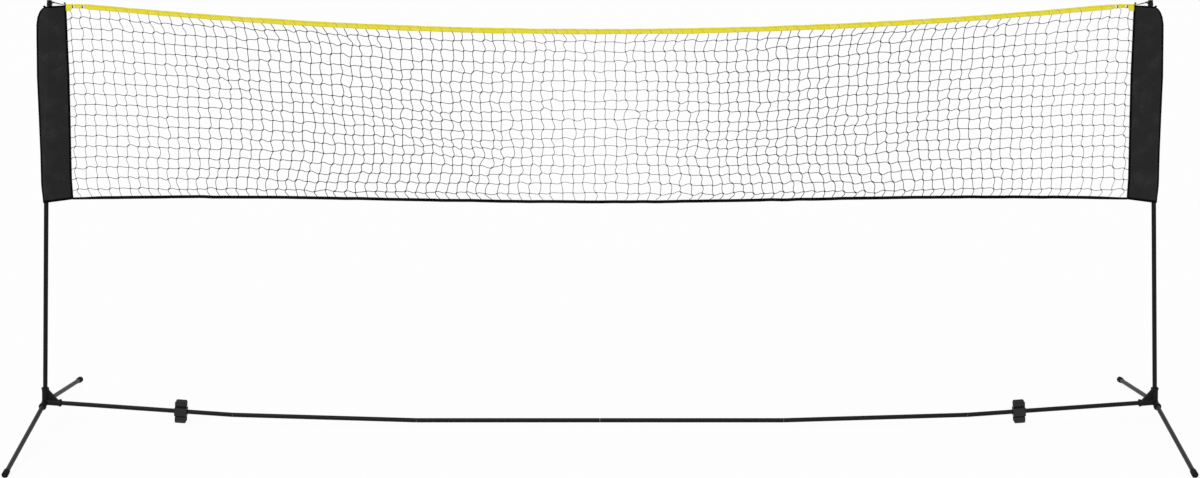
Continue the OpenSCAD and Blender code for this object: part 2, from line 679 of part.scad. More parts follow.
// The cord's end: round the neck of the cap and back into the knot, which has a bore for the cord.
module cord_loop(side) {
    open = acos(loop_r / knot_x);
    run = sqrt(knot_x * knot_x - loop_r * loop_r);
    color([0.08, 0.08, 0.085]) at_side(side) in_pole_top() translate([0, 0, neck_z]) difference() {
        union() {
            rotate([0, 0, open]) rotate_extrude(angle = 360 - 2 * open)
                translate([loop_r, 0]) circle(cord_d / 2);
            for (s = [1, -1]) rotate([0, 0, s * open]) translate([loop_r, 0, 0])
                rotate([s * 90, 0, 0]) cylinder(r = cord_d / 2, h = run);
            translate([knot_x, 0, 0]) sphere(knot_d / 2);
        }
        translate([knot_x - cord_short - knot_gap, 0, 0]) rotate([0, 90, 0])
            cylinder(r = cord_d / 2 + knot_gap, h = knot_d);
    }
}

module eyelet_places() {
    for (d = [eyelet_first, eyelet_first + eyelet_pitch]) {
        x = tape_end_x + d;
        translate([x, 0, top_line(x)]) rotate([90, 0, 0]) children();
    }
}

// A metal eyelet along +Z, centred: a barrel through the tape and a rolled flange on each side.
module eyelet() {
    half = top_slot / 2 + tape_wall + eyelet_gap;
    hole_r = eyelet_hole_d / 2;
    tube_z(-half - eyelet_t, half + eyelet_t, hole_r + eyelet_t, hole_r);
    for (s = [0, 1]) mirror([0, 0, s]) tube_z(half, half + eyelet_t, eyelet_d / 2, hole_r + eyelet_t / 2);
}

module eyelets(side) {
    color([0.75, 0.74, 0.72]) at_side(side) eyelet_places() eyelet();
}

hub_at("left");  // hub_left
hub_at("right");  // hub_right
leg("left", true);  // leg_front_left
leg("left", false);  // leg_rear_left
leg("right", true);  // leg_front_right
leg("right", false);  // leg_rear_right
foot("left", true);  // foot_front_left
foot("left", false);  // foot_rear_left
foot("right", true);  // foot_front_right
foot("right", false);  // foot_rear_right
rail_outer("left");  // rail_outer_left
rail_middle("left");  // rail_middle_left
rail_inner("left");  // rail_inner_left
rail_inner("right");  // rail_inner_right
rail_middle("right");  // rail_middle_right
rail_outer("right");  // rail_outer_right
rail_joiners();
rail_clip("left");  // rail_clip_left
rail_clip("right");  // rail_clip_right
pole_lower("left");  // pole_lower_left
pole_upper("left");  // pole_upper_left
pole_lower("right");  // pole_lower_right
pole_upper("right");  // pole_upper_right
pole_joiners();
pole_cap("left");  // pole_cap_left
pole_cap("right");  // pole_cap_right
sleeve("left");  // sleeve_left
sleeve("right");  // sleeve_right
top_tape();
bottom_tape();
net();
top_cord();
cord_loop("left");  // cord_loop_left
cord_loop("right");  // cord_loop_right
eyelets("left");  // eyelets_left
eyelets("right");  // eyelets_right
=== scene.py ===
# %% [markdown]
# # A garden net on two poles
#
# The tubes, hubs, clips and feet of this net come ready-made from the CAD frame, and keep their shapes.
# What a CAD solid can't show is made here: the knotted mesh, the sewn tapes, the fabric sleeves, the cord
# with its knots, the rolled eyelets, and the finish of every surface. Lengths are metres, as in the frame,
# and a size that reads better in millimetres is written as a number times MM.

# %% Load the frame
import json
import math

import bpy
import numpy as np
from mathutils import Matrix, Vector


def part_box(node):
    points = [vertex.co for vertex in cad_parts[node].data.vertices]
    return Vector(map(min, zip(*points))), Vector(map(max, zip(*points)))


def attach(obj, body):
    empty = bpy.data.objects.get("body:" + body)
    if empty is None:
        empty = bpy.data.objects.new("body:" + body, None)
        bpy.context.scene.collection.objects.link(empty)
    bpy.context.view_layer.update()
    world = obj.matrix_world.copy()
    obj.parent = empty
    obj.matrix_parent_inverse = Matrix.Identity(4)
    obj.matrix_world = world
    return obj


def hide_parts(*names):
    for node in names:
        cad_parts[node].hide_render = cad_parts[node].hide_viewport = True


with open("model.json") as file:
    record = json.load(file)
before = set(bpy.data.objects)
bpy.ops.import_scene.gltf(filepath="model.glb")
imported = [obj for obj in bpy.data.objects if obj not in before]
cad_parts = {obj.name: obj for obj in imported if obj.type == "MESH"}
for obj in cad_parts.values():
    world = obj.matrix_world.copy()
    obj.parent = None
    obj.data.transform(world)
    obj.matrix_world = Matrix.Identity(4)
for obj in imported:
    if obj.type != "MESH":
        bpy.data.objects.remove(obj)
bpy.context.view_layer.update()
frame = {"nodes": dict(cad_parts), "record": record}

MM = 0.001

# %% [markdown]
# ## Reading sizes off the frame
#
# A piece that stands for a CAD node has to lie where the node lies. The two tapes are thin bands that were
# cut along a curve, so each station of the curve left corners at its lower and its upper edge. Sorting the
# corners by their place along the net gives both edges back, and with them the line that the band hangs on.

# %% Read the tapes' edges
def corners_of(node):
    """The corners of a CAD node as an array of (x, y, z) rows, each corner once."""
    mesh = frame["nodes"][node].data
    flat = np.empty(3 * len(mesh.vertices))
    mesh.vertices.foreach_get("co", flat)
    return np.unique(np.round(flat.reshape(-1, 3), 6), axis=0)


def band_edges(node, least_height):
    """Stations where a band's corners span at least a height: x, the lower edge's z and the upper edge's."""
    corners = corners_of(node)
    places, station = np.unique(np.round(corners[:, 0], 4), return_inverse=True)
    low = np.full(len(places), np.inf)
    high = np.full(len(places), -np.inf)
    np.minimum.at(low, station.ravel(), corners[:, 2])
    np.maximum.at(high, station.ravel(), corners[:, 2])
    whole = high - low > least_height
    return places[whole], low[whole], high[whole]


def lower_edge(band, x):
    """The height of a band's lower edge at a place along the net."""
    return np.interp(x, band[0], band[1])


def upper_edge(band, x):
    """The height of a band's upper edge at a place along the net."""
    return np.interp(x, band[0], band[2])


# The tapes are 18 and 11 mm high, and a station counts where its corners span nearly all of that.
top_band = band_edges("top_tape", 17 * MM)
bottom_band = band_edges("bottom_tape", 9 * MM)
tape_end, bottom_end = top_band[0][-1], bottom_band[0][-1]
print("top tape ends at x = %.4f, with %d stations" % (tape_end, len(top_band[0])))
print("bottom tape ends at x = %.4f, with %d stations" % (bottom_end, len(bottom_band[0])))

# %% [markdown]
# The pole and the sleeve's two side edges are read in the same way. A tube's axis joins the middles of its
# two ends, and a sleeve's side edges are its corners in the plane of the net, where y is zero. Everything is
# worked out on the left side, where x is negative, and mirrored for the right.

# %% Read the pole and the sleeve
def tube_ends(node):
    """The middles of a tube's two ends, lower one first."""
    corners = corners_of(node)
    height = corners[:, 2]
    end_zone = 4 * MM
    return (corners[height < height.min() + end_zone].mean(0),
            corners[height > height.max() - end_zone].mean(0))


lower_foot, lower_head = tube_ends("pole_lower_left")
upper_foot, pole_head = tube_ends("pole_upper_left")
pole_line = np.array([lower_foot, (lower_head + upper_foot) / 2, pole_head])
pole_up = (pole_head - upper_foot) / np.linalg.norm(pole_head - upper_foot)


def pole_x(z):
    """The left pole's axis at a height."""
    return np.interp(z, pole_line[:, 2], pole_line[:, 0])


ON_PLANE = 0.01 * MM
RING_GAP = 1 * MM
sleeve_corners = corners_of("sleeve_left")
sleeve_seam = sleeve_corners[np.abs(sleeve_corners[:, 1]) < ON_PLANE]
sleeve_top = sleeve_seam[:, 2].max()


def side_edge(behind):
    """Heights and x of the outermost corners on one side of the pole, one for every ring of the sleeve."""
    side = sleeve_seam[(sleeve_seam[:, 0] < pole_x(sleeve_seam[:, 2])) == behind]
    side = side[np.argsort(side[:, 2])]
    ring = np.concatenate([[0], np.cumsum(np.diff(side[:, 2]) > RING_GAP)])
    outermost = np.full(ring[-1] + 1, np.inf)
    np.minimum.at(outermost, ring, side[:, 0] if behind else -side[:, 0])
    heights = np.bincount(ring, side[:, 2]) / np.bincount(ring)
    return heights, outermost if behind else -outermost


back_edge = side_edge(True)
net_edge = side_edge(False)


# Sewn edges give and gather a little. At these shares of the sleeve's height, each edge stands so many
# millimetres nearer to the middle of the net than the CAD solid's.
slack_at = np.array([0, 0.1, 0.25, 0.45, 0.65, 0.8, 0.9, 1])
back_slack = np.array([-2.2, -3.2, -1.8, -2.2, -3.0, 0.0, 1.6, 0.0]) * MM
net_slack = np.array([3.0, 0.3, 1.2, 3.0, 4.2, 2.8, 2.4, 1.8]) * MM
slack_z = net_edge[0][0] + (sleeve_top - net_edge[0][0]) * slack_at


def back_x(z):
    """The sleeve's outer edge at a height."""
    return np.interp(z, *back_edge) + np.interp(z, slack_z, back_slack)


def seam_x(z):
    """The CAD sleeve's edge beside the net at a height, which the mesh is spaced from."""
    return np.interp(z, *net_edge)


def net_x(z):
    """The sewn edge beside the net at a height, where the mesh is laced on."""
    return seam_x(z) + np.interp(z, slack_z, net_slack)


print("sleeve's outer edge from z = %.4f, its net edge from z = %.4f, top at z = %.4f"
      % (back_edge[0][0], net_edge[0][0], sleeve_top))

# %% [markdown]
# ## Shader maths that reads like maths
#
# Most finishes below are small formulas on noise and stripes. In Blender each sum or product is a node, and a
# long chain of hand-made nodes is hard to read. So one small class wraps a socket and lends it Python's
# operators: adding, subtracting, multiplying or dividing two of them makes the matching node and returns
# its output.

# %% Sockets with operators
def maths(operation, swap=False):
    """A method that adds the node for an operation: on colours if one of the two is a colour, else on vectors
    if one is a vector, else on numbers. swap is for an operator with a plain number on its left."""
    def method(self, other):
        first, second = (other, self) if swap else (self, other)
        kinds = [v.socket.type for v in (first, second) if isinstance(v, Level)]
        if "RGBA" in kinds:
            return self.finish.node("ShaderNodeMix", {"data_type": "RGBA", "blend_type": operation},
                                    {0: 1.0, 6: first, 7: second}, out=2)
        kind = "ShaderNodeVectorMath" if "VECTOR" in kinds else "ShaderNodeMath"
        return self.finish.node(kind, {"operation": operation}, {0: first, 1: second})

    return method


class Level:
    """A number, vector or colour that varies over a surface. Operators on it add nodes to its material."""

    def __init__(self, finish, socket):
        self.finish = finish
        self.socket = socket

    __add__, __radd__ = maths("ADD"), maths("ADD", swap=True)
    __sub__, __rsub__ = maths("SUBTRACT"), maths("SUBTRACT", swap=True)
    __mul__, __rmul__ = maths("MULTIPLY"), maths("MULTIPLY", swap=True)
    __truediv__, __pow__ = maths("DIVIDE"), maths("POWER")
    larger = maths("MAXIMUM")

    def wave(self):
        """The sine of the number, which is an angle in radians."""
        return self.finish.node("ShaderNodeMath", {"operation": "SINE"}, {0: self})

    def size(self):
        """The number without its sign."""
        return self.finish.node("ShaderNodeMath", {"operation": "ABSOLUTE"}, {0: self})

    def ramp(self, low, high):
        """0 below low, 1 above high, and a smooth step between."""
        return self.finish.node("ShaderNodeMapRange", {"interpolation_type": "SMOOTHSTEP"},
                                {"Value": self, "From Min": low, "From Max": high})

    def beside(self, output):
        """Another output of the node that this one comes from."""
        return Level(self.finish, self.socket.node.outputs[output])


print("besides the operators, a Level has", [name for name in vars(Level) if name[0] != "_"])

# %% [markdown]
# Every other node comes from one method, `Finish.node`, which takes the kind of node, its settings and what
# goes into its sockets. Colours are written as on a paint card, in six hexadecimal digits, because that is
# how a colour is usually given. A shader counts in linear light, so `tone` turns the one into the other.

# %% The node maker
def tone(text):
    """A colour written as on a paint card, such as 2a2a2c, turned into the linear numbers of a shader."""
    coded = np.array([int(text[k:k + 2], 16) for k in (0, 2, 4)]) / 255
    linear = np.where(coded <= 0.04045, coded / 12.92, ((coded + 0.055) / 1.055) ** 2.4)
    return tuple(float(v) for v in linear)


class Finish:
    """A material, or a world, under construction. Its node method makes every node that isn't an operator."""

    def __init__(self, name, library=bpy.data.materials):
        self.made = library.new(name)
        self.made.use_nodes = True
        self.tree = self.made.node_tree
        self.tree.nodes.clear()

    def node(self, kind, settings=None, inputs=None, out=0):
        """Adds a node, makes its settings, then fills each named socket with a number, a link or a colour,
        which is a tone or three linear numbers."""
        node = self.tree.nodes.new(kind)
        for name, value in (settings or {}).items():
            setattr(node, name, value)
        for name, value in (inputs or {}).items():
            socket = node.inputs[name]
            if isinstance(value, Level):
                self.tree.links.new(value.socket, socket)
            elif socket.type == "VECTOR" and isinstance(value, (int, float)):
                socket.default_value = (value, value, value)
            elif socket.type == "RGBA":
                socket.default_value = (*(tone(value) if isinstance(value, str) else value), 1.0)
            else:
                socket.default_value = value
        return Level(self, node.outputs[out]) if len(node.outputs) else None

    def place(self):
        """The point of the surface in metres, which doesn't move with the view."""
        return self.node("ShaderNodeTexCoord", out="Object")

    def unrolled(self):
        """The piece's own UV map: metres across and along the cloth, or round and along a cord."""
        flat = self.node("ShaderNodeUVMap", {"uv_map": "cloth"})
        across = self.node("ShaderNodeSeparateXYZ", None, {0: flat})
        return across, across.beside(1)

    def noise(self, per_metre, where=None, detail=2.0, roughness=0.5):
        """Cloudy noise from 0 to 1 with so many blobs to the metre."""
        return self.node("ShaderNodeTexNoise", None, {"Vector": where or self.place(), "Scale": per_metre,
                                                      "Detail": detail, "Roughness": roughness})

    def blend(self, first, second, share):
        """The first colour where share is 0, the second where it is 1."""
        return self.node("ShaderNodeMix", {"data_type": "RGBA"}, {0: share, 6: first, 7: second}, out=2)

    def done(self, colour, roughness, height=None, depth=0.1 * MM, **fixed):
        """Closes the material: a Principled shader with these links, and sockets set by name in fixed."""
        inputs = {"Base Color": colour, "Roughness": roughness}
        inputs.update({name.replace("_", " "): value for name, value in fixed.items()})
        if height is not None:
            inputs["Normal"] = self.node("ShaderNodeBump", None, {"Height": height, "Distance": depth})
        shader = self.node("ShaderNodeBsdfPrincipled", None, inputs)
        self.node("ShaderNodeOutputMaterial", None, {"Surface": shader})
        return self.made


print("the paint card's 808080 is", np.round(tone("808080"), 3), "to a shader")

# %% [markdown]
# ## Finishes of the hard parts
#
# The tubes are powder coated. Powder melts into a skin with a fine orange peel, a little less glossy where
# hands and grass have rubbed it. One noise of about a blob a millimetre makes the peel, and a slow one varies
# the sheen. The legs get lighter shades of the same coat than the other tubes. The rear legs get a darker
# copy of it, which is painted shade.

# %% Powder coat
def powder_coat(name, dark, light, sheen):
    """Two close shades mixed by slow noise, an orange-peel bump, and rubbed streaks that are smoother."""
    finish = Finish(name)
    cloud = finish.noise(14, detail=3)
    peel = finish.noise(900, detail=1)
    rubbed = finish.noise(60, detail=4, roughness=0.7).ramp(0.55, 0.8)
    dust = finish.noise(6, detail=5, roughness=0.65).ramp(0.5, 0.85)
    colour = finish.blend(finish.blend(dark, light, cloud), "6a6862", dust * 0.05)
    return finish.done(colour, sheen + 0.12 * dust - 0.08 * rubbed, peel, 0.05 * MM, Specular_IOR_Level=0.14)


finishes = {"tube_steel": powder_coat("tube_powder_coat", "0a0a0b", "111112", 0.40),
            "leg_steel": powder_coat("leg_powder_coat", "202021", "2b2b2c", 0.38)}
# The rear legs' darker copy of the leg coat is painted shade.
rear_leg_shaded_coat = powder_coat("rear_leg_painted_shade_coat", "131314", "1b1b1c", 0.46)
print("powder coats:", list(finishes))

# %% [markdown]
# The hubs, clips and caps are moulded. A steel mould is spark-eroded to give the plastic a fine grain that
# hides scratches, so these parts are matt and a little speckled. Corners that knock about turn paler: there
# the surface curves outward within a millimetre or so, which Geometry's Pointiness shows only on a dense
# mesh. On a CAD mesh noise does better: sparse scuffs, pale and smoother than the rest.

# %% Moulded plastic and rubber
def moulded(name, dark, light, grain=1300, sheen=0.5, scuffs=0.12, specular=0.16):
    """A grained plastic: speckle from fast noise, sparse pale scuffs from stretched noise."""
    finish = Finish(name)
    speckle = finish.noise(grain, detail=2)
    cloud = finish.noise(25, detail=3)
    stretched = finish.node("ShaderNodeVectorMath", {"operation": "MULTIPLY"},
                            {0: finish.place(), 1: (60, 60, 400)})
    scuff = finish.noise(1.0, stretched, detail=4, roughness=0.7).ramp(0.6, 0.78)
    base = finish.blend(dark, light, cloud * 0.6 + speckle * 0.4)
    colour = finish.blend(base, "77756f", scuff * scuffs)
    return finish.done(colour, sheen + 0.14 * speckle - 0.1 * scuff, speckle + 0.3 * cloud, 0.06 * MM,
                       Specular_IOR_Level=specular)


finishes["hub_plastic"] = moulded("hub_moulding", "060607", "0f0f10")
finishes["clip_plastic"] = moulded("clip_moulding", "232324", "2e2e30", sheen=0.42)
finishes["cap_plastic"] = moulded("cap_moulding", "060607", "0f0f10", sheen=0.4)
finishes["foot_rubber"] = moulded("foot_rubber", "0e0e0e", "1a1a19", grain=800, sheen=0.72, scuffs=0.2,
                                  specular=0.12)
print("moulded:", [name for name in finishes if "plastic" in name or "rubber" in name])

# %% [markdown]
# The joiners inside the tubes are zinc plated, and the eyelets in the tape are nickel plated brass. Plating
# is nearly all metal: its colour is its reflection, and what tells zinc from nickel is the spangle, the
# patchy crystals of a zinc bath, against nickel's warm even shine.

# %% Plated metal
def plated(name, dark, light, patch, sheen):
    """A metal whose two shades follow cell noise, with a faint brushed bump."""
    finish = Finish(name)
    crystals = finish.node("ShaderNodeTexVoronoi", None, {"Vector": finish.place(), "Scale": patch})
    tarnish = finish.noise(700, detail=3).ramp(0.45, 0.8)
    colour = finish.blend(light, dark, crystals * 0.4 + tarnish * 0.5)
    return finish.done(colour, sheen + 0.2 * tarnish, finish.noise(2500), 0.02 * MM, Metallic=1.0)


finishes["joiner_steel"] = plated("joiner_zinc", "8f9396", "c4c7c9", 300, 0.35)


EYELET_HOLE_R = 3.0 * MM
EYELET_GIRTH = 30 * MM


def eyelet_plating():
    """Nickel, bright on the flange, with painted shade: dark in the barrel's hollow and in a crescent on the
    side towards the pole. The barrel is where the way round the profile starts and ends."""
    finish = Finish("eyelet_nickel")
    across, along = finish.unrolled()
    pole_side_shade = (along / EYELET_HOLE_R - math.pi / 2).wave().ramp(0.2, 0.9)
    half = EYELET_GIRTH / 2
    barrel = 1 - (half - (across - half).size()).ramp(2.6 * MM, 3.4 * MM)
    tarnish = finish.noise(700, detail=3).ramp(0.45, 0.8)
    # Painted shade: the barrel's hollow and a crescent on the side towards the pole are darkened towards
    # 221a14.
    worn_and_shaded = (pole_side_shade * 0.9).larger(barrel * 0.8)
    colour = finish.blend(finish.blend("d8c8b4", "8f7f6b", tarnish), "221a14", worn_and_shaded)
    return finish.done(colour, 0.24 + 0.3 * worn_and_shaded + 0.1 * tarnish, finish.noise(2500), 0.02 * MM, Metallic=1.0)


finishes["eyelet_metal"] = eyelet_plating()
print("plated:", list(finishes)[-2:])

# %% [markdown]
# ## Finishes of the soft parts
#
# Cloth and cord need a pattern that follows the piece, so each soft piece made below carries a UV map called
# "cloth", measured in metres. A plain weave is a checkerboard of over and under: the product of a sine across
# and a sine along is positive where the warp lies on top, and its size gives each yarn a rounded back.

# %% Woven cloth and webbing
def woven(name, dark, light, yarn, rib, sheen, worn_and_shaded="8d8b84", wear=0.08, mottle=0.0, tacks=0.0,
          specular=0.1):
    """A weave of the given yarn width. rib stretches the yarn across, as webbing's long floats do. The light
    shade shows on top of the yarns, the dark one between them. tacks is the spacing of slanted tack marks."""
    finish = Finish(name)
    across, along = finish.unrolled()
    warp = (across * (math.pi / (yarn * rib))).wave()
    weft = (along * (math.pi / yarn)).wave()
    over = warp * weft
    yarn_back = over.size() ** 0.6
    lines = yarn_back * 0.7 + over * 0.3
    fluff = finish.noise(220, detail=4, roughness=0.7)
    cloud = finish.noise(18, detail=3)
    base = finish.blend(dark, light, lines * 0.55 + fluff * 0.25 + cloud * 0.2)
    colour = finish.blend(base, worn_and_shaded, (cloud * fluff).ramp(0.22, 0.5) * wear)
    if mottle:
        colour = colour * (1 - mottle * finish.noise(45, detail=2).ramp(0.45, 0.75))
    if tacks:
        slanted = ((along - across * 0.7) * (2 * math.pi / tacks)).wave().ramp(0.9, 1.0)
        colour = finish.blend(colour, "c79a18", slanted * cloud.ramp(0.3, 0.6) * 0.5)
    return finish.done(colour, 0.78 - 0.1 * yarn_back + 0.08 * fluff, lines + 0.25 * fluff, 0.25 * yarn,
                       Specular_IOR_Level=specular, Sheen_Weight=sheen, Sheen_Roughness=0.5)


finishes["sleeve_fabric"] = woven("sleeve_oxford", "1e1e1f", "2b2b2d", 0.55 * MM, 1.0, 0.05)
finishes["binding"] = woven("edge_binding", "020202", "070707", 0.5 * MM, 3.0, 0.01, wear=0.02,
                            specular=0.04)
finishes["top_webbing"] = woven("top_webbing", "f2df24", "fffa50", 0.9 * MM, 2.2, 0.1, worn_and_shaded="fffbd0",
                                wear=0.3, mottle=0.05, tacks=36 * MM)
finishes["bottom_webbing"] = woven("bottom_webbing", "030303", "0a0a0a", 0.8 * MM, 2.2, 0.01, wear=0.02,
                                   specular=0.05)
print("woven:", [m.name for m in bpy.data.materials if m.name.endswith(("oxford", "binding", "webbing"))])

# %% [markdown]
# Twine and cord are braided: strands run round the cord both ways and dive under each other. Two sines whose
# angle grows along the cord and round it, one clockwise and one the other way, draw the two sets of strands,
# and the larger of the two is the one on top.

# %% Braided cord
def braided(name, dark, light, thick, strands):
    """Strands at about 35 degrees: the sines of (round +- along), the larger one on top."""
    finish = Finish(name)
    around, along = finish.unrolled()
    turn = around * (strands / thick)
    climb = along * (1.4 * strands / thick)
    top = (turn + climb).wave().larger((turn - climb).wave())
    fluff = finish.noise(900, detail=3)
    colour = finish.blend(dark, light, top.ramp(-0.2, 1.0) * 0.7 + fluff * 0.3)
    return finish.done(colour, 0.7 + 0.15 * fluff, top + 0.3 * fluff, 0.12 * thick, Specular_IOR_Level=0.22,
                       Sheen_Weight=0.05)


TWINE = 2.2 * MM
CORD = 2.5 * MM
THREAD = 0.6 * MM
finishes["net_twine"] = braided("net_twine", "161617", "2c2c2d", TWINE, 4)
finishes["cord"] = braided("black_cord", "090909", "1d1d1d", CORD, 8)
finishes["thread_yellow"] = braided("yellow_thread", "c9b91a", "f0e24a", THREAD, 3)
finishes["thread_black"] = braided("black_thread", "101010", "2a2a2a", THREAD, 3)
print("finishes in all:", len(finishes))

# %% [markdown]
# ## Dressing the CAD nodes
#
# The record names a material slot for each node, so one loop dresses them all. Only the material slot of the
# object changes: the mesh of a CAD node stays as it is.

# %% Dress every node by its slot
slot_of = {part["node"]: part["material_slot"] for part in frame["record"]["subparts"]}
for node_name, node_object in frame["nodes"].items():
    node_object.data.materials.clear()
    # The rear legs are dressed in the darker copy of the leg coat, a painted shade.
    rear_leg = node_name.startswith("leg_rear")
    node_object.data.materials.append(rear_leg_shaded_coat if rear_leg else finishes[slot_of[node_name]])
print("dressed:", len(slot_of), "nodes in", len(set(slot_of.values())), "finishes")

# %% [markdown]
# ## From arrays to meshes
#
# Every new piece is a surface over a grid: rings of corners, one ring after the other. If the corners are one
# numpy array with the shape (tube, ring, corner, xyz), then the faces are slices of an array of corner
# numbers, and no loop over corners is needed.

# %% Skins
def face_corners(grid):
    """For every face of a grid, what its four corners hold, in turn."""
    return np.stack([grid[:, :-1, :-1], grid[:, :-1, 1:], grid[:, 1:, 1:], grid[:, 1:, :-1]], 3)


def skin(corners, around, along, hoop=False):
    """The faces of tubes whose rings run anticlockwise about the way forward: corner k and its next on ring
    r, then the same two on ring r + 1, the other way. UVs are the metres around and along. A hoop's last ring
    is joined to its first. The ends of any other tube are closed by ladders of quads between the first half
    of a ring and its second half, which fit a folded profile too."""
    tubes_n, rings_n, sides = corners.shape[:3]
    index = np.arange(tubes_n * rings_n * sides).reshape(tubes_n, rings_n, sides)
    across = np.broadcast_to(around, (tubes_n, rings_n, len(around)))
    grown = np.concatenate([index, index[:, :, :1]], 2)
    if hoop:
        grown = np.concatenate([grown, grown[:, :1]], 1)
        across = np.concatenate([across, across[:, :1]], 1)
        along = np.concatenate([along, along[:, -1:] + (along[:, -1:] - along[:, -2:-1])], 1)
    uv = np.stack([across, np.broadcast_to(along[:, :, None], grown.shape)], -1)
    quads, uvs = face_corners(grown).reshape(-1, 4), face_corners(uv).reshape(-1, 4, 2)
    if not hoop:
        step = np.arange(sides // 2 - 1)
        rungs = np.stack([step, step + 1, sides - 2 - step, sides - 1 - step], 1)
        start = index[:, 0][:, rungs[:, ::-1]].reshape(-1, 4)
        end = index[:, -1][:, rungs].reshape(-1, 4)
        quads = np.concatenate([quads, start, end])
        uvs = np.concatenate([uvs, np.zeros((len(start) + len(end), 4, 2))])
    return corners.reshape(-1, 3), quads, uvs


print("a grid of 3 by 4 corners has", face_corners(np.zeros((1, 3, 4))).size // 4, "faces")

# %% [markdown]
# Twine, cord and stitches are all tubes along a path, with rings that stand square to it. A part is a triple
# of corners, faces and UVs, so parts can be mirrored and joined before Blender sees them.

# %% Tubes
def unit(vectors):
    """Each vector divided by its length."""
    return vectors / np.linalg.norm(vectors, axis=-1, keepdims=True)


def lengths(paths):
    """Metres from the start of each path to each of its points."""
    steps = np.linalg.norm(np.diff(paths, axis=1), axis=-1)
    return np.concatenate([np.zeros((len(paths), 1)), np.cumsum(steps, 1)], 1)


def tubes(paths, radius, sides, across=(0, 1, 0)):
    """Tubes round paths of the shape (tube, ring, xyz). A ring stands square to the path's direction t, and
    its corner at the angle a is the path's point + radius * (cos a * u + sin a * w), where u is the part of
    across that is square to t, and w is t x u."""
    paths = np.reshape(paths, (-1,) + np.shape(paths)[-2:])
    ahead = unit(np.gradient(paths, axis=1))
    aside = np.broadcast_to(np.asarray(across, float), ahead.shape)
    u = unit(aside - (aside * ahead).sum(-1, keepdims=True) * ahead)
    w = np.cross(ahead, u)
    angle = 2 * math.pi * (np.arange(sides) + 0.5) / sides
    thick = np.broadcast_to(radius, paths.shape[:2])[..., None, None]
    ring = np.cos(angle)[:, None] * u[:, :, None] + np.sin(angle)[:, None] * w[:, :, None]
    around = np.linspace(0, 2 * math.pi * np.max(radius), sides + 1)
    return skin(paths[:, :, None] + thick * ring, around, lengths(paths))


def mirrored(part):
    """The part on the other side of the net: x changes its sign, and each face runs the other way round."""
    corners, quads, uvs = part
    return corners * (-1, 1, 1), quads[:, ::-1], uvs[:, ::-1]


def joined(parts):
    """Several parts as one: each part's faces are counted on from the corners before it."""
    starts = np.cumsum([0] + [len(part[0]) for part in parts[:-1]])
    return (np.concatenate([part[0] for part in parts]),
            np.concatenate([part[1] + start for part, start in zip(parts, starts)]),
            np.concatenate([part[2] for part in parts]))


print("a six-sided tube of two rings has", len(tubes([[0, 0, 0], [0, 0, 1]], 1, 6)[1]), "faces")

# %% [markdown]
# Only now does Blender get a mesh, and foreach_set hands over each array in one call. Every piece is put
# on the body it rides on, gets its finish, and hides the CAD node it stands for.

# %% Pieces
def placed(name, data):
    """A new object in the scene, of a mesh, a light or a camera."""
    made = bpy.data.objects.new(name, data)
    bpy.context.scene.collection.objects.link(made)
    return made


def piece(name, node, part, finish):
    """Makes a Blender object of a part, with smooth faces, its UVs and its finish. It rides on the frame's
    body, and hides its CAD node, which it shows in full."""
    corners, quads, uvs = part
    mesh = bpy.data.meshes.new(name)
    mesh.vertices.add(len(corners))
    mesh.vertices.foreach_set("co", corners.ravel())
    mesh.loops.add(quads.size)
    mesh.loops.foreach_set("vertex_index", quads.ravel().astype(np.int32))
    mesh.polygons.add(len(quads))
    mesh.polygons.foreach_set("loop_start", np.arange(0, quads.size, 4, dtype=np.int32))
    mesh.update(calc_edges=True)
    mesh.uv_layers.new(name="cloth").data.foreach_set("uv", uvs.ravel())
    mesh.polygons.foreach_set("use_smooth", np.ones(len(quads), bool))
    mesh.materials.append(finishes[finish])
    made = placed(name, mesh)
    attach(made, "frame")
    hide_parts(node)
    print("%-20s %7d faces, from x = %.3f to %.3f"
          % (name, len(quads), corners[:, 0].min(), corners[:, 0].max()))
    return made


def pair(name, node, part, finish):
    """The left piece of a part and its mirrored right piece, with left and right at the end of both names."""
    return [piece(name + side, node + side, half, finish)
            for side, half in (("_left", part), ("_right", mirrored(part)))]


print("nodes that come in pairs:", sorted(node[:-5] for node in slot_of if node.endswith("_left")))

# %% [markdown]
# ## Things that wander
#
# Nothing sewn or knotted is quite straight. A smooth random line does for all of it: one random number at
# each step, joined by a raised cosine. The seed fixes the numbers, so that the net hangs the same each time.

# %% A smooth random line
def wander(places, step, seed):
    """Random numbers of spread 1, one for each step: between two of them, (1 - cos(pi t)) / 2 of the way."""
    count = 4096
    numbers = np.random.default_rng(seed).normal(size=count)
    where = np.asarray(places) / step + count // 2
    first = np.floor(where).astype(int) % count
    share = (1 - np.cos(math.pi * (where - np.floor(where)))) / 2
    return numbers[first] * (1 - share) + numbers[(first + 1) % count] * share


def smooth_step(value, low, high):
    """0 below low, 1 above high, and 3 t^2 - 2 t^3 between."""
    t = np.clip((value - low) / (high - low), 0, 1)
    return t * t * (3 - 2 * t)


print("a smooth random line goes through", np.round(wander([0, 0.5, 1], 1, 1), 2))

# %% [markdown]
# ## The net
#
# The mesh is knotted from one twine, 18 gaps high and 103 wide, and hangs from the top tape by the first gap.
# A cloth simulation of 1,800 knots would need the tension that the poles give, and would still hang too
# evenly. It is quicker and closer to work out where the knots lie: an even mesh between the two tapes, and
# two small tables of how far it hangs away from that, in millimetres. The mesh leans towards the
# middle over most of its height. In its lowest quarter the middle columns lean outwards instead, because the
# bottom tape is the longer one, and the last gap swings back. Square to its plane the mesh bags a little.

# %% Where the knots lie
ROWS = 18
COLUMNS = 103
FIRST_ROW = 0.0424
ROW_STEP = 0.0569
NET_TUCK = 4.4 * MM
FIRST_STRAND = 12.5 * MM
LACED_IN = 0.5 * MM
BAG = 4 * MM

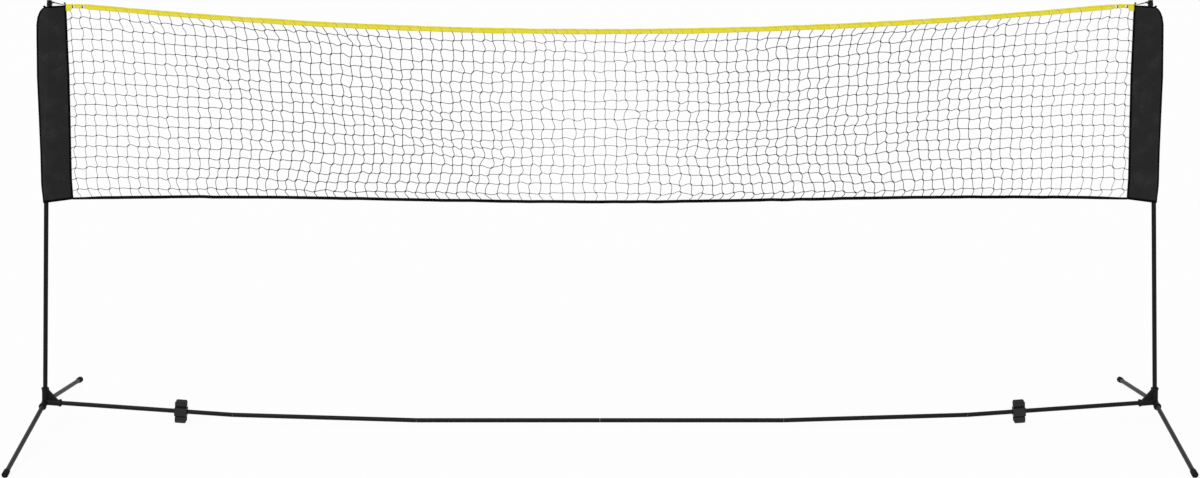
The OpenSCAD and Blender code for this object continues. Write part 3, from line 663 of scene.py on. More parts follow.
u_line = np.concatenate([[-1], np.linspace(-1, 1, COLUMNS + 1), [1]])
v_line = np.concatenate([[0], FIRST_ROW + ROW_STEP * np.arange(ROWS - 1), [1]])
u, v = np.meshgrid(u_line, v_line)
lacing = np.zeros_like(u)
lacing[:, [0, -1]] = 1

# How far out from the middle a column stands, as a share, and how many gaps below the top tape a row lies.
places_out = [0, 0.1, 0.2, 0.3, 0.4, 0.5, 0.6, 0.7, 0.8, 0.9, 0.97, 1]
lean_rows = [0, 1, 2, 4, 7, 10, 13, 15, 16, 17, 18]
lean_in = [[0, -8, 2, 4, -9, -16, -12, -15, -11, -10, -3, 7],
           [0, 6, 6, 6, 2, -3, -2, -2, -2, -6, 0, 7],
           [0, 8, 9, 7, 8, 8, 8, 6, 5, 3, 3, 4],
           [0, -2, 0, 3, 5, 10, 11, 8, 7, 4, 2, 4],
           [0, -6, -7, 0, 6, 14, 14, 13, 8, 6, 5, 8],
           [0, -5, -4, 2, 10, 17, 17, 16, 9, 11, 8, 9],
           [0, -5, 0, 6, 8, 16, 15, 11, 10, 9, 6, 3],
           [0, -12, -12, -5, -4, 1, -2, 2, 5, 8, 5, 2],
           [0, -14, -19, -13, -14, -10, -9, -2, 3, 9, 5, 3],
           [0, -15, -23, -20, -21, -20, -12, -7, 3, 11, 9, 5],
           [0, -5, -5, -8, -12, -12, -6, 0, 12, 20, 20, 16]]
sag_rows = [0, 1, 4, 7, 10, 13, 16, 18]
sag = [[0, 0, 0, 0, 0, 0, 0, 0, 0, 0, 0, 0],
       [3, 0, 3, 4, 2, -1, -3, -4, -1, 1, 1, 3],
       [3, 3, 12, 10, 9, 0, 0, 1, -2, -2, 0, 5],
       [5, 5, 13, 18, 12, 5, 3, 0, 0, 2, 1, 4],
       [0, 7, 11, 16, 8, 6, 1, -4, -1, -1, 1, 0],
       [-5, -4, 8, 1, 3, 8, -2, -1, 0, -3, -4, -2],
       [-8, -5, 1, -2, 0, 7, -2, -7, -1, -6, -4, -2],
       [0, 0, 0, 0, 0, 0, 0, 0, 0, 0, 0, 0]]


def hang(table, table_rows):
    """A table in millimetres, read off for every knot: first across each of its rows, then down the net."""
    across = np.array([np.interp(np.abs(u_line), places_out, row) for row in table])
    gaps_down = ROWS - np.arange(ROWS + 1)
    return np.stack([np.interp(gaps_down, table_rows, column) for column in across.T], 1) * MM


def net_points():
    """Knots (row, column): x is u times the half width at that height, less the lean towards the middle; z
    runs from the bottom tape's edge to the top tape's edge by v, less the sag; and every knot is off by a
    millimetre or two. The outermost knots are where the rows are laced to the sleeves, a little lower."""
    top_z = lower_edge(top_band, u * tape_end) + NET_TUCK
    low_z = upper_edge(bottom_band, u * tape_end) - NET_TUCK
    z = low_z + (top_z - low_z) * v
    half_width = np.where(lacing > 0, -net_x(z) - LACED_IN, -seam_x(z) - FIRST_STRAND)
    inner = 1 - lacing
    free = inner * np.where((v == 0) | (v == 1), 0, 1)
    rng = np.random.default_rng(11)
    loose = 2.4 - smooth_step(np.abs(u), 0.5, 0.9)
    scatter = loose * MM * rng.normal(size=(2,) + u.shape)
    x = u * half_width + inner * (scatter[0] - np.sign(u) * hang(lean_in, lean_rows))
    z = z + free * (0.9 * scatter[1] - hang(sag, sag_rows)) - lacing * (2 + 9 * v) * MM
    y = free * (BAG * wander(x + 2.3 * v, 0.45, 9) * smooth_step(1 - np.abs(u), 0, 0.1)
                + 0.8 * MM * rng.normal(size=u.shape))
    return np.stack([x, y, z], -1)


knots = net_points()
print("knots:", knots[1:-1, 1:-1].shape, "gap about %.1f by %.1f mm" % (
    1000 * np.diff(knots[9, 1:-1, 0]).mean(), 1000 * np.diff(knots[1:-1, 50, 2]).mean()))

# %% [markdown]
# A length of twine is seldom straight between two knots: it leaves a knot the way it came in, and keeps the
# set that the knot gave it. A cubic curve with a given direction at either end does just that. If both
# lengths at a knot share one direction, the twine runs through the knot without a kink.

# %% Twine between the knots
STEPS = 7
TWINE_SIDES = 6
CALM_HALF = 180 * MM


def threads(ends, ways):
    """Paths through the knots of each thread. Between two knots, at t from 0 to 1, a point is the sum of
    (1 + 2t)(1 - t)^2 of the first, t^2 (3 - 2t) of the second, t (1 - t)^2 of the way out of the first and
    -t^2 (1 - t) of the way into the second."""
    t = (np.arange(STEPS) / STEPS)[:, None]
    start, end = ends[:, :-1, None], ends[:, 1:, None]
    way_out, way_in = ways[:, :-1, None], ways[:, 1:, None]
    path = ((1 + 2 * t) * (1 - t) ** 2 * start + t ** 2 * (3 - 2 * t) * end
            + t * (1 - t) ** 2 * way_out - t ** 2 * (1 - t) * way_in)
    return np.concatenate([path.reshape(len(ends), -1, 3), ends[:, -1:]], 1)


def ways_through(ends, spread, turn, seed):
    """The direction at each knot: half the step from the knot before to the knot after, turned by so many
    millimetres the way the knots pull it, which fades in the middle and is mirrored on the right, and a
    little at random."""
    rng = np.random.default_rng(seed)
    tied = np.clip(-ends[..., :1] / CALM_HALF, -1, 1) * turn
    return np.gradient(ends, axis=1) + (tied + rng.normal(size=ends.shape) * spread) * MM


upright_ends = knots[:, 1:-1].transpose(1, 0, 2)
uprights = threads(upright_ends, ways_through(upright_ends, (12, 4, 0), (15, 0, 0), 21))
row_ends = knots[1:-1]
cross_rows = threads(row_ends, ways_through(row_ends, (0, 4, 9), (0, 0, 15), 24))
# Beside the sleeves the uprights are under tension, and so drawn thinner.
drawn_thin = 1.04 - 0.22 * smooth_step(np.abs(u_line[1:-1]), 0.55, 0.95)


def twine_radius(x):
    """Half the twine's thickness at a place along the net: it is pulled thin in the middle, where the net is
    hit, and at the sides, where it is strung, and stays full in between."""
    share = np.interp(np.abs(x) / tape_end, [0.03, 0.15, 0.25, 0.35, 0.55, 0.75, 0.85, 1],
                      [0.74, 0.86, 1.0, 1.07, 1.07, 1.02, 0.93, 0.89])
    return TWINE / 2 * share


upright_radius = twine_radius(uprights[..., 0]) * drawn_thin[:, None]
row_radius = twine_radius(cross_rows[..., 0])
piece("net_uprights", "net", tubes(uprights, upright_radius, TWINE_SIDES), "net_twine")
piece("net_rows", "net", tubes(cross_rows, row_radius, TWINE_SIDES), "net_twine")

# %% [markdown]
# Each crossing is a small knot, about twice as thick as the twine. There are some 1,800 of them, so a knot is
# a bead of four rings that lies askew over the crossing, and no more.

# %% Knots
KNOT_HALF = 2.7 * MM


def knot_beads(centres):
    """Beads along a diagonal that tilts from knot to knot: four rings whose radius swells and shrinks."""
    rng = np.random.default_rng(31)
    tilt = math.radians(45) + 0.25 * rng.normal(size=len(centres))
    axis = np.stack([np.cos(tilt), np.zeros_like(tilt), np.sin(tilt)], -1)
    places = np.array([-1, -0.4, 0.4, 1])[None, :, None] * KNOT_HALF
    paths = centres[:, None] + axis[:, None] * places
    thick = 2 * twine_radius(centres[:, :1])
    swell = thick * np.array([0.6, 1.08, 1.08, 0.6]) * (1 + 0.08 * rng.normal(size=(len(centres), 1)))
    return tubes(paths, swell, TWINE_SIDES)


beads = knot_beads(knots[1:-1, 1:-1].reshape(-1, 3))
piece("net_knots", "net", beads, "net_twine")

# %% [markdown]
# ## The tapes
#
# Webbing is folded over the net's edge and sewn through. In cross-section the top tape is a tall narrow
# loop: a round head over the cord, a waist where the seam pinches it, and two legs on either side of the net.
# The section is given once, as half thickness for a depth below the fold, and carried along the tape. A
# second line inside it, one web thickness in, makes the webbing a real folded strip and not a bar.

# %% The section of a folded tape
WEB = 0.8 * MM
LEGS_APART = 0.15 * MM
TAPE_STEP = 5 * MM


def stations(end):
    """Places along a tape, from one end to the other."""
    return np.linspace(-end, end, int(2 * end / TAPE_STEP) + 1)


def folded(depths, halves):
    """One ring of a folded tape as (y, depth): down the front leg reversed, over the fold and down the back,
    then back along the inside at a web's thickness. depths and halves have the shape (station, point)."""
    y_out = np.concatenate([-halves[:, ::-1], halves[:, 1:]], 1)
    d_out = np.concatenate([depths[:, ::-1], depths[:, 1:]], 1)
    along = unit(np.stack([np.gradient(y_out, axis=1), np.gradient(d_out, axis=1)], -1))
    y_in = y_out - WEB * along[..., 1]
    d_in = d_out + WEB * along[..., 0]
    y_in = np.where(y_out < 0, np.minimum(y_in, -LEGS_APART), np.maximum(y_in, LEGS_APART))
    return np.concatenate([y_out, y_in[:, ::-1]], 1), np.concatenate([d_out, d_in[:, ::-1]], 1)


def tape(x, high, depths, halves, flip=1):
    """A folded tape: at each station x the ring stands below the upper edge high, or above it where flip
    is -1, with UVs that run round the section and along the tape."""
    y, depth = folded(depths, halves)
    place = np.broadcast_to(x[:, None], y.shape)
    corners = np.stack([place, y, high[:, None] - flip * depth], -1)[None]
    if flip > 0:
        corners = corners[:, :, ::-1]
    around = np.linspace(0, 2 * float(np.abs(depths).max()) * 2, corners.shape[2] + 1)
    return skin(corners, around, lengths(corners[:, :, 0]))


print("stations on the top and the bottom tape:", len(stations(tape_end)), len(stations(bottom_end)))

# %% [markdown]
# The top tape is 18 mm high. The last 20 mm at each end are turned back on themselves as a tab that hangs
# 6 mm lower, then a narrower neck carries the two eyelets, where the webbing is doubled. Along the seam it
# puckers between stitches.

# %% Top tape
TAB_L = 20 * MM
TAB_DROP = 6 * MM
NECK_L = 84 * MM
NECK_RISE = 3.6 * MM
DOUBLED_L = 74 * MM
SEAM_DEPTH = 6.3 * MM

tape_x = stations(tape_end)
tape_high = upper_edge(top_band, tape_x) + 0.35 * MM * wander(tape_x, 0.035, 41)


def end_part(length, ease):
    """1 on the tape's last length at either end and 0 on the rest, with a smooth step between."""
    return 1 - smooth_step(tape_end - np.abs(tape_x), length - ease, length)


tab = end_part(TAB_L, 3 * MM)
doubled = end_part(DOUBLED_L, 4 * MM)
neck_part = (1 - tab) * end_part(NECK_L, 20 * MM)
edge_waver = 0.5 * MM * wander(tape_x, 0.06, 42)
full_height = tape_high - lower_edge(top_band, tape_x)
tape_height = full_height + TAB_DROP * tab - NECK_RISE * neck_part + edge_waver


def top_section():
    """Depths and half thicknesses, (station, point): the head over the cord, the waist at the seam, and the
    legs, which are thicker where the webbing is doubled. The legs stretch with the tape's height."""
    head = np.array([0, 0.15, 0.6, 1.35, 2.3, 3.4, 4.6, 5.5]) * MM
    head_half = np.array([0.0, 0.9, 1.65, 2.2, 2.42, 2.3, 1.8, 1.4]) * MM
    leg = np.array([0.0, 0.12, 0.35, 0.62, 0.86, 0.97, 1.0])
    leg_half = np.array([1.25, 1.5, 1.68, 1.72, 1.78, 1.6, 1.2]) * MM
    pucker = 0.12 * MM * wander(tape_x, 0.006, 43)[:, None] + 0.18 * MM * wander(tape_x, 0.03, 44)[:, None]
    depths = np.concatenate([np.broadcast_to(head, (len(tape_x), len(head))),
                             SEAM_DEPTH + leg * (tape_height[:, None] - SEAM_DEPTH)], 1)
    legs = leg_half + pucker * np.array([0.6, 1, 1, 1, 1, 1, 0.6])
    legs = legs + doubled[:, None] * 0.75 * MM * np.array([0.3, 0.9, 1, 1, 1, 1, 1])
    return depths, np.concatenate([np.broadcast_to(head_half, (len(tape_x), len(head))), legs], 1)


top_depths, top_halves = top_section()
top_part = tape(tape_x, tape_high, top_depths, top_halves)
top_tape = piece("top_tape_webbing", "top_tape", top_part, "top_webbing")

# %% [markdown]
# The eyelets need real holes through both legs. A boolean cut is the plain way: a round punch at each eyelet,
# subtracted, and the modifier applied, as a workshop would punch the sewn tape before it sets the eyelets.

# %% Punch the eyelet holes
EYELET_R = 6.3 * MM
HOLE_SLACK = 0.7 * MM
PUNCH_HALF = 9 * MM


def eyelet_centres():
    """The middles of the left side's two eyelets: one flange radius in from either end of their corners."""
    corners = corners_of("eyelets_left")
    ends = np.array([corners[:, 0].min() + EYELET_R, corners[:, 0].max() - EYELET_R])
    near = np.abs(corners[:, :1] - ends) < EYELET_R + 1 * MM
    heights = [(corners[near[:, k], 2].min() + corners[near[:, k], 2].max()) / 2 for k in (0, 1)]
    return np.stack([ends, heights], 1)


left_eyelets = eyelet_centres()
all_eyelets = np.concatenate([left_eyelets, left_eyelets * (-1, 1)])
punch_path = np.array([[[x, -PUNCH_HALF, z], [x, PUNCH_HALF, z]] for x, z in all_eyelets])
punch_part = tubes(punch_path, EYELET_HOLE_R + HOLE_SLACK, 24, across=(0, 0, 1))


def cut_away(target, part):
    """Subtracts a part from a piece with a boolean modifier, and keeps the result as the piece's mesh."""
    mesh = bpy.data.meshes.new("punch")
    mesh.from_pydata(part[0].tolist(), [], part[1].tolist())
    punch = placed("punch", mesh)
    cut = target.modifiers.new("punch", "BOOLEAN")
    cut.operation, cut.object, cut.solver = "DIFFERENCE", punch, "EXACT"
    graph = bpy.context.evaluated_depsgraph_get()
    result = bpy.data.meshes.new_from_object(target.evaluated_get(graph), preserve_all_data_layers=True,
                                             depsgraph=graph)
    target.modifiers.clear()
    target.data = result
    bpy.data.objects.remove(punch)
    bpy.data.meshes.remove(mesh)


cut_away(top_tape, punch_part)
print("eyelets at x =", np.round(left_eyelets[:, 0], 4), "faces after the cut:", len(top_tape.data.polygons))

# %% [markdown]
# The bottom tape is plain black webbing, folded under the net's lower edge and sewn once. It is the same
# surface turned over, so that the fold is below. Towards the sleeves the pull draws it narrower.

# %% Bottom tape
DRAWN_TO = 0.72
DRAWN_L = 120 * MM

bottom_x = stations(bottom_end)
drawn_up = DRAWN_TO + (1 - DRAWN_TO) * smooth_step(bottom_end - np.abs(bottom_x), 0, DRAWN_L)
bottom_height = (upper_edge(bottom_band, bottom_x) - lower_edge(bottom_band, bottom_x)) * drawn_up
bottom_low = lower_edge(bottom_band, bottom_x) + 0.4 * MM * wander(bottom_x, 0.05, 51)


def bottom_section():
    """Depths above the fold and half thicknesses, (station, point)."""
    share = np.array([0, 0.02, 0.07, 0.16, 0.32, 0.5, 0.68, 0.85, 0.96, 1.0])
    half = np.array([0, 0.8, 1.4, 1.75, 1.9, 1.75, 1.6, 1.65, 1.55, 1.1]) * MM
    wave = 0.15 * MM * wander(bottom_x, 0.02, 52)[:, None] * np.minimum(1, share * 4)
    return share * bottom_height[:, None], half + wave


bottom_depths, bottom_halves = bottom_section()
bottom_part = tape(bottom_x, bottom_low, bottom_depths, bottom_halves, flip=-1)
piece("bottom_tape_webbing", "bottom_tape", bottom_part, "bottom_webbing")

# %% [markdown]
# Stitches are short raised threads. There are thousands of them, so each has only ten faces, on three rings
# of four corners along a line that rises out of the cloth and dives back in.

# %% Stitches
PITCH = 4.5 * MM
STITCH_SHARE = 0.62
HEM_MARGIN = 2.2 * MM
BOTTOM_SEAM_SHARE = 0.62


def stitches(line, starts, length):
    """Threads in front and behind, from each start on. line gives the point of the cloth behind at any place
    along it, and in front y is the opposite. A thread rises outwards between its two ends, and dives in at
    both."""
    radius = THREAD / 2
    parts = []
    for face in (-1, 1):
        first, last = line(starts) * (1, face, 1), line(starts + length) * (1, face, 1)
        outward = np.broadcast_to(np.array([0, face, 0.0]), first.shape)
        middle = (first + last) / 2 + outward * radius * 0.9
        paths = np.stack([first - outward * radius * 0.4, middle, last - outward * radius * 0.4], 1)
        across = np.broadcast_to(unit(np.cross(outward, last - first))[:, None], paths.shape)
        parts.append(tubes(paths, np.array([0.6, 1, 0.6]) * radius, 4, across=across))
    return parts


def seams(x, z, half):
    """Stitches on both faces, along a line that is given by x, z and half thickness."""
    def line(places):
        return np.stack([places, np.interp(places, x, half), np.interp(places, x, z)], -1)

    count = int((x[-1] - x[0]) / PITCH)
    return stitches(line, x[0] + (np.arange(count) + 0.2) * PITCH, STITCH_SHARE * PITCH)


def half_at(depth):
    """The top tape's half thickness at a depth, for every station."""
    return np.array([np.interp(*row) for row in zip(depth, top_depths, top_halves)])


yellow_seams = []
for depth in (np.full(len(tape_x), SEAM_DEPTH), tape_height - HEM_MARGIN):
    yellow_seams += seams(tape_x, tape_high - depth, half_at(depth))
piece("top_tape_seams", "top_tape", joined(yellow_seams), "thread_yellow")

black_seams = seams(bottom_x, bottom_low + BOTTOM_SEAM_SHARE * bottom_height, bottom_halves[:, 5])
piece("bottom_tape_seams", "bottom_tape", joined(black_seams), "thread_black")

# %% [markdown]
# ## The sleeves
#
# A sleeve is a flat tube of coated polyester, sewn along its net edge and its outer edge, with the pole
# inside. Seen from above, the taut cloth leaves the round pole as a tangent on each side and runs to the
# rolled edge. That gives the half thickness at any x: a circle's arc near the pole, then a straight fall.

# %% The sleeve's section and outline
POLE_R = 8.0 * MM
COVER_R = POLE_R + 1.7 * MM
EDGE_R = 2.3 * MM
SIDE_POINTS = 46
DENSE_BELOW = 0.04
DENSE_ABOVE = 0.93
HEM_RISE = 0.12
TOP_RISE = 0.06
DRAWN_IN = 3.2 * MM

# The corners of half a ring, from 0 at the outer edge over 1 at the pole to 2 at the net edge: they lie
# closer together at all three. The rings do so at the bottom hem and towards the top.
eased = (1 - np.cos(math.pi * np.linspace(0, 1, SIDE_POINTS))) / 2
ring_place = np.concatenate([eased, 1 + eased[1:]])
sleeve_low = back_edge[0][0] * 0.5 + net_edge[0][0] * 0.5
sleeve_t = np.concatenate([np.linspace(0, DENSE_BELOW, 12)[:-1],
                           np.linspace(DENSE_BELOW, DENSE_ABOVE, 110)[:-1],
                           DENSE_ABOVE + (1 - DENSE_ABOVE) * np.sin(np.linspace(0, math.pi / 2, 24))])
sleeve_z = sleeve_low + (sleeve_top - sleeve_low) * sleeve_t


def half_thick(x, pole, edge, out=0.0):
    """Half the sleeve's thickness: sqrt(r^2 - d^2) on the pole, then the tangent r / cos a - d tan a, and at
    the edge the round of the fold. A surface that lies further out has both radii larger by as much."""
    cover_r, edge_r = COVER_R + out, EDGE_R + out
    d = np.abs(x - pole)
    span = np.maximum(np.abs(edge - pole) - edge_r, cover_r - edge_r + 0.1 * MM)
    lean = np.arcsin(np.clip((cover_r - edge_r) / span, 0, 0.99))
    on_pole = np.sqrt(np.maximum(cover_r ** 2 - d ** 2, 0))
    tangent = cover_r / np.cos(lean) - d * np.tan(lean)
    cover = np.where(d < cover_r * np.sin(lean), on_pole, tangent)
    reach = np.clip(np.abs(edge - x), 0, edge_r)
    tip = np.sqrt(np.maximum(2 * edge_r * reach - reach ** 2, 0))
    return np.maximum(0, np.where(np.abs(edge - x) < edge_r, np.minimum(tip, cover), cover))


def share_up(z):
    """How far up the sleeve a height is, from 0 at the bottom hem to 1 at the top."""
    return (z - sleeve_low) / (sleeve_top - sleeve_low)


def outer_x(z):
    """The outer edge with the bottom hem's gather, which draws it in over the lowest tenth."""
    return back_x(z) + DRAWN_IN * (1 - smooth_step(share_up(z), 0, 0.1))


def hem_rise(z, off):
    """How far a ring at a height z climbs at a distance off from the pole: the lower hem slopes up towards
    the net, and the upper one a little."""
    t = share_up(z)
    return (HEM_RISE * (1 - t) ** 2 + TOP_RISE * smooth_step(t, 0.8, 1)) * off


print("the sleeve is %.1f mm thick over the pole and %.1f mm high" % (
    2000 * half_thick(0, 0, 0.1), 1000 * (sleeve_top - sleeve_low)))

# %% [markdown]
# Faint folds run out from the two corners where the tapes are sewn on, because there the net's whole pull
# goes into the cloth. The rings of the sleeve take them up away from the pole and the edges, where the cloth
# lies loose. The cloth is one closed skin with a thickness: the outside, and the inside again further in.

# %% The sleeve's cloth
CLOTH = 0.8 * MM

# Each of the two corners sends out four folds, in these directions in degrees.
pull_corners = ((net_x(sleeve_top), sleeve_top - 8 * MM, (205, 228, 250, 262)),
                (net_x(sleeve_low + 20 * MM), sleeve_low + 20 * MM, (150, 128, 108, 97)))


def pull_folds(x, z):
    """Ridges of cloth that fan out from the corners: each is a hump across its own line,
    exp(-(off / width)^2), that fades with the distance from the corner."""
    folds = np.zeros_like(x)
    for corner_x, corner_z, angles in pull_corners:
        for k, angle in enumerate(angles):
            a = math.radians(angle)
            along = (x - corner_x) * math.cos(a) + (z - corner_z) * math.sin(a)
            off = (z - corner_z) * math.cos(a) - (x - corner_x) * math.sin(a)
            width = 2.5 * MM + 0.06 * np.maximum(along, 0)
            rise = smooth_step(along, 4 * MM, 25 * MM)
            fade = 1 - smooth_step(along, 60 * MM, (150 + 40 * k) * MM)
            folds += (1.1 - 0.15 * k) * MM * np.exp(-(off / width) ** 2) * (rise * fade)
    return folds


def sleeve_rings(z, inset=0.0, folds=1.0):
    """Rings of the sleeve at heights z, so far inside the cloth's surface: x runs from the outer edge over
    the pole to the net edge and back, y is the half thickness in front and behind, and z climbs as the hems
    do. folds is 0 for a ring without creases."""
    pole = pole_x(z)[:, None]
    back = outer_x(z)[:, None] + inset
    front = net_x(z)[:, None] - inset
    x = np.where(ring_place < 1, back + ring_place * (pole - back), pole + (ring_place - 1) * (front - pole))
    edge = np.where(ring_place < 1, back, front)
    half = half_thick(x, pole, edge, -inset)
    level = z[:, None] + hem_rise(z[:, None], x - pole)
    loose = smooth_step(np.abs(x - edge), 3 * MM, 14 * MM) * smooth_step(np.abs(x - pole), 7 * MM, 16 * MM)
    crease = folds * (pull_folds(x, level) + 0.35 * MM * wander(level + 3 * x, 0.05, 61)) * loose
    drape = folds * 0.5 * MM * wander(level + 40.0, 0.11, 62) * loose
    x2 = np.concatenate([x, x[:, -2:0:-1]], 1)
    y2 = np.concatenate([-(half + crease) + drape, (half - 0.6 * crease + drape)[:, -2:0:-1]], 1)
    return np.stack([x2, y2, np.concatenate([level, level[:, -2:0:-1]], 1)], -1)


def pole_ring(z):
    """A circle round the pole with as many corners as a ring, each where the ring's own corner points."""
    ring = sleeve_rings(np.array([z]), 0, 0)[0]
    angle = np.arctan2(ring[:, 1], ring[:, 0] - pole_x(z))
    r = POLE_R + 0.5 * MM
    return np.stack([pole_x(z) + r * np.cos(angle), r * np.sin(angle), np.full(len(ring), z)], -1)[None]


def sleeve_cloth():
    """The cloth as one closed skin: up the outside, in over the pole's hole, and down the inside."""
    inside = sleeve_z[sleeve_z < sleeve_top - CLOTH - 0.3 * MM][::-1]
    rings = np.concatenate([sleeve_rings(sleeve_z), pole_ring(sleeve_top), pole_ring(sleeve_top - CLOTH),
                            sleeve_rings(inside, CLOTH)])[None]
    girth = np.concatenate([[0], np.cumsum(np.linalg.norm(np.diff(rings[0, 0], axis=0), axis=-1))])
    girth = np.append(girth, 2 * girth[-1] - girth[-2])
    middle = rings.mean(2)
    return skin(rings, girth, lengths(middle), hoop=True)


sleeves = pair("sleeve_cloth", "sleeve", sleeve_cloth(), "sleeve_fabric")

# %% [markdown]
# A darker binding is folded over the two side edges and round the top and bottom hems, and sewn through. It
# is the sleeve's own surface again, near an edge only: once half a millimetre out from the cloth, and home
# again just under it.

# %% Bindings and their stitches
BIND = 0.5 * MM
BIND_SUNK = 0.2 * MM
BIND_W = 7 * MM
HEM_OUT = 0.45 * MM
HEM_GIRTH = 0.23
EDGE_STITCHES = 150
END_MARGIN = 12 * MM
BORDER = 1.6 * MM


def side_binding(at_net):
    """A strip folded over a side edge: at each height its section runs from the front face round the edge to
    the back face, and home again just under the cloth."""
    z = sleeve_z[2:-3]
    pole = pole_x(z)[:, None]
    edge = (net_x(z) if at_net else outer_x(z))[:, None]
    outward = 1 if at_net else -1
    reach = BIND_W * np.array([1, 0.8, 0.55, 0.35, 0.2, 0.1, 0.03])

    def section(out):
        x = edge + outward * (out - reach)
        tip = edge + outward * out
        half = half_thick(x, pole, tip, out)
        return (np.concatenate([x, tip, x[:, ::-1]], 1), np.concatenate([-half, 0 * tip, half[:, ::-1]], 1))

    x_out, y_out = section(BIND)
    x_in, y_in = section(-BIND_SUNK)
    x = np.concatenate([x_out, x_in[:, ::-1]], 1)
    y = np.concatenate([y_out, y_in[:, ::-1]], 1)
    level = z[:, None] + hem_rise(z[:, None], x - pole)
    corners = np.stack([x, y, level], -1)[None]
    if not at_net:
        corners = corners[:, :, ::-1]
    around = np.linspace(0, 4 * BIND_W, corners.shape[2] + 1)
    return skin(corners, around, lengths(corners[:, :, 0]))


def hem_band(z_low, z_high):
    """A band round the sleeve between two heights: four rings, of which the first and the last are tucked
    into the cloth, and two more inside it, closed into a hoop."""
    z = np.array([z_low, z_low + 0.3 * MM, z_high - 0.3 * MM, z_high])
    outer = sleeve_rings(z, np.array([[0.1 * MM], [-HEM_OUT], [-HEM_OUT], [0.1 * MM]]))
    inner = sleeve_rings(z[[3, 0]], 0.3 * MM)
    rings = np.concatenate([outer, inner])[None]
    return skin(rings, np.linspace(0, HEM_GIRTH, rings.shape[2] + 1), lengths(rings[:, :, 0]), hoop=True)


def edge_stitches(at_net):
    """A row of stitches down a binding, near its inner border, on both faces."""
    def line(z):
        edge = net_x(z) if at_net else outer_x(z)
        x = edge + (-1 if at_net else 1) * (BIND_W - BORDER)
        half = half_thick(x, pole_x(z), edge) + HEM_OUT
        return np.stack([x, half, z + hem_rise(z, x - pole_x(z))], -1)

    z_all = np.linspace(sleeve_low + END_MARGIN, sleeve_top - END_MARGIN, EDGE_STITCHES + 1)
    return stitches(line, z_all[:-1], STITCH_SHARE * (z_all[1] - z_all[0]))


trim_part = joined([side_binding(True), side_binding(False),
                    hem_band(sleeve_low - 0.2 * MM, sleeve_low + 9 * MM),
                    hem_band(sleeve_top - 5 * MM, sleeve_top + 0.2 * MM)])
stitch_part = joined(edge_stitches(True) + edge_stitches(False))
bindings = pair("sleeve_binding", "sleeve", trim_part, "binding")
sleeve_seams = pair("sleeve_seams", "sleeve", stitch_part, "thread_black")

# %% [markdown]
# ## Cord and knots
#
# A braided cord carries the top tape. It lies in the tape's fold, comes out at the end, and is tied round the
# neck of the cap on the pole. The knot is a short coil of the same cord. Because a coil's formula is a
# helix, the knot, the turn round the neck and the cord itself all use one tube function.

# %% The cord's route
LOOP_R = 6.9 * MM
KNOT_X = 12.8 * MM
NECK_UP = 4.0 * MM
FOLD = 2.4 * MM
AIR = 0.3 * MM

y_axis = np.array([0, 1.0, 0])
cap_side = np.cross(y_axis, pole_up)
neck = pole_head + NECK_UP * pole_up


def cord_height(x):
    """The cord's middle in the tape: below its upper edge by the fold, a little air and half the cord."""
    return upper_edge(top_band, x) - FOLD - AIR - CORD / 2


knot_at = neck + KNOT_X * cap_side
lead = np.array([knot_at - 1.0 * MM * cap_side, knot_at + 4.2 * MM * cap_side,
                 [-tape_end - 2 * MM, 0, float(cord_height(-tape_end))]])
print("cord leaves the knot at", np.round(knot_at, 4), "and enters the tape at", np.round(lead[-1], 4))


def rounded_route(points, per_leg=10):
    """A smooth curve through a few points: straight legs whose corners are eased by averaging neighbours."""
    spots = np.concatenate([[0], np.cumsum(np.linalg.norm(np.diff(points, axis=0), axis=1))])
    even = np.linspace(0, spots[-1], per_leg * (len(points) - 1) + 1)
    path = np.stack([np.interp(even, spots, points[:, k]) for k in range(3)], 1)
    for _ in range(6):
        path[1:-1] = (path[:-2] + 2 * path[1:-1] + path[2:]) / 4
    return path


inner_x = np.linspace(-tape_end + 3 * MM, tape_end - 3 * MM, 500)
inside_cord = np.stack([inner_x, 0 * inner_x, cord_height(inner_x)], 1)
left_lead = rounded_route(np.concatenate([lead, inside_cord[:1]]))
cord_path = np.concatenate([left_lead[:-1], inside_cord, (left_lead[:-1] * (-1, 1, 1))[::-1]])
piece("tape_cord", "top_cord", tubes(cord_path, CORD / 2, 10), "cord")

# %% [markdown]
# The rest is short lengths of the same cord: the turn round the neck, the knot with its tail and a second
# strand tied back along the first, a knotted tag above the tape's corner, and the drawstring's knot on the
# sleeve's shoulder.

# %% Loops and knots
COIL_POINTS = 20
CORD_SIDES = 8


def knot(centre, axis, radius, pitch, turns, thick=1.0):
    """A coil of cord, so many times its usual thickness. It is a helix in the middle of its axis: centre +
    radius * (cos a * y + sin a * axis x y) + pitch * a / 2 pi along axis, with radius and pitch in
    millimetres. The axis is square to y."""
    a = np.linspace(0, 2 * math.pi * turns, int(COIL_POINTS * turns) + 1)[:, None]
    around = np.cos(a) * y_axis + np.sin(a) * np.cross(axis, y_axis)
    climb = pitch * MM * a / (2 * math.pi) - pitch * MM * turns / 2
    return tubes(centre + radius * MM * around + climb * axis, CORD / 2 * thick, CORD_SIDES, across=axis)


def neck_turn():
    """Once round the neck, from the knot and back to it: an arc, and its two tangents to the knot."""
    opening = math.acos(LOOP_R / KNOT_X)
    run = math.sqrt(KNOT_X ** 2 - LOOP_R ** 2)
    a = np.linspace(opening, 2 * math.pi - opening, 40)[:, None]
    arc = neck + LOOP_R * (np.cos(a) * cap_side + np.sin(a) * y_axis)
    share = np.linspace(1, 0, 8)[:-1, None]
    ahead = -math.sin(opening) * cap_side + math.cos(opening) * y_axis
    out_leg = arc[0] - ahead * run * share
    home_leg = out_leg[::-1] * (1, -1, 1)
    return np.concatenate([out_leg, arc, home_leg])


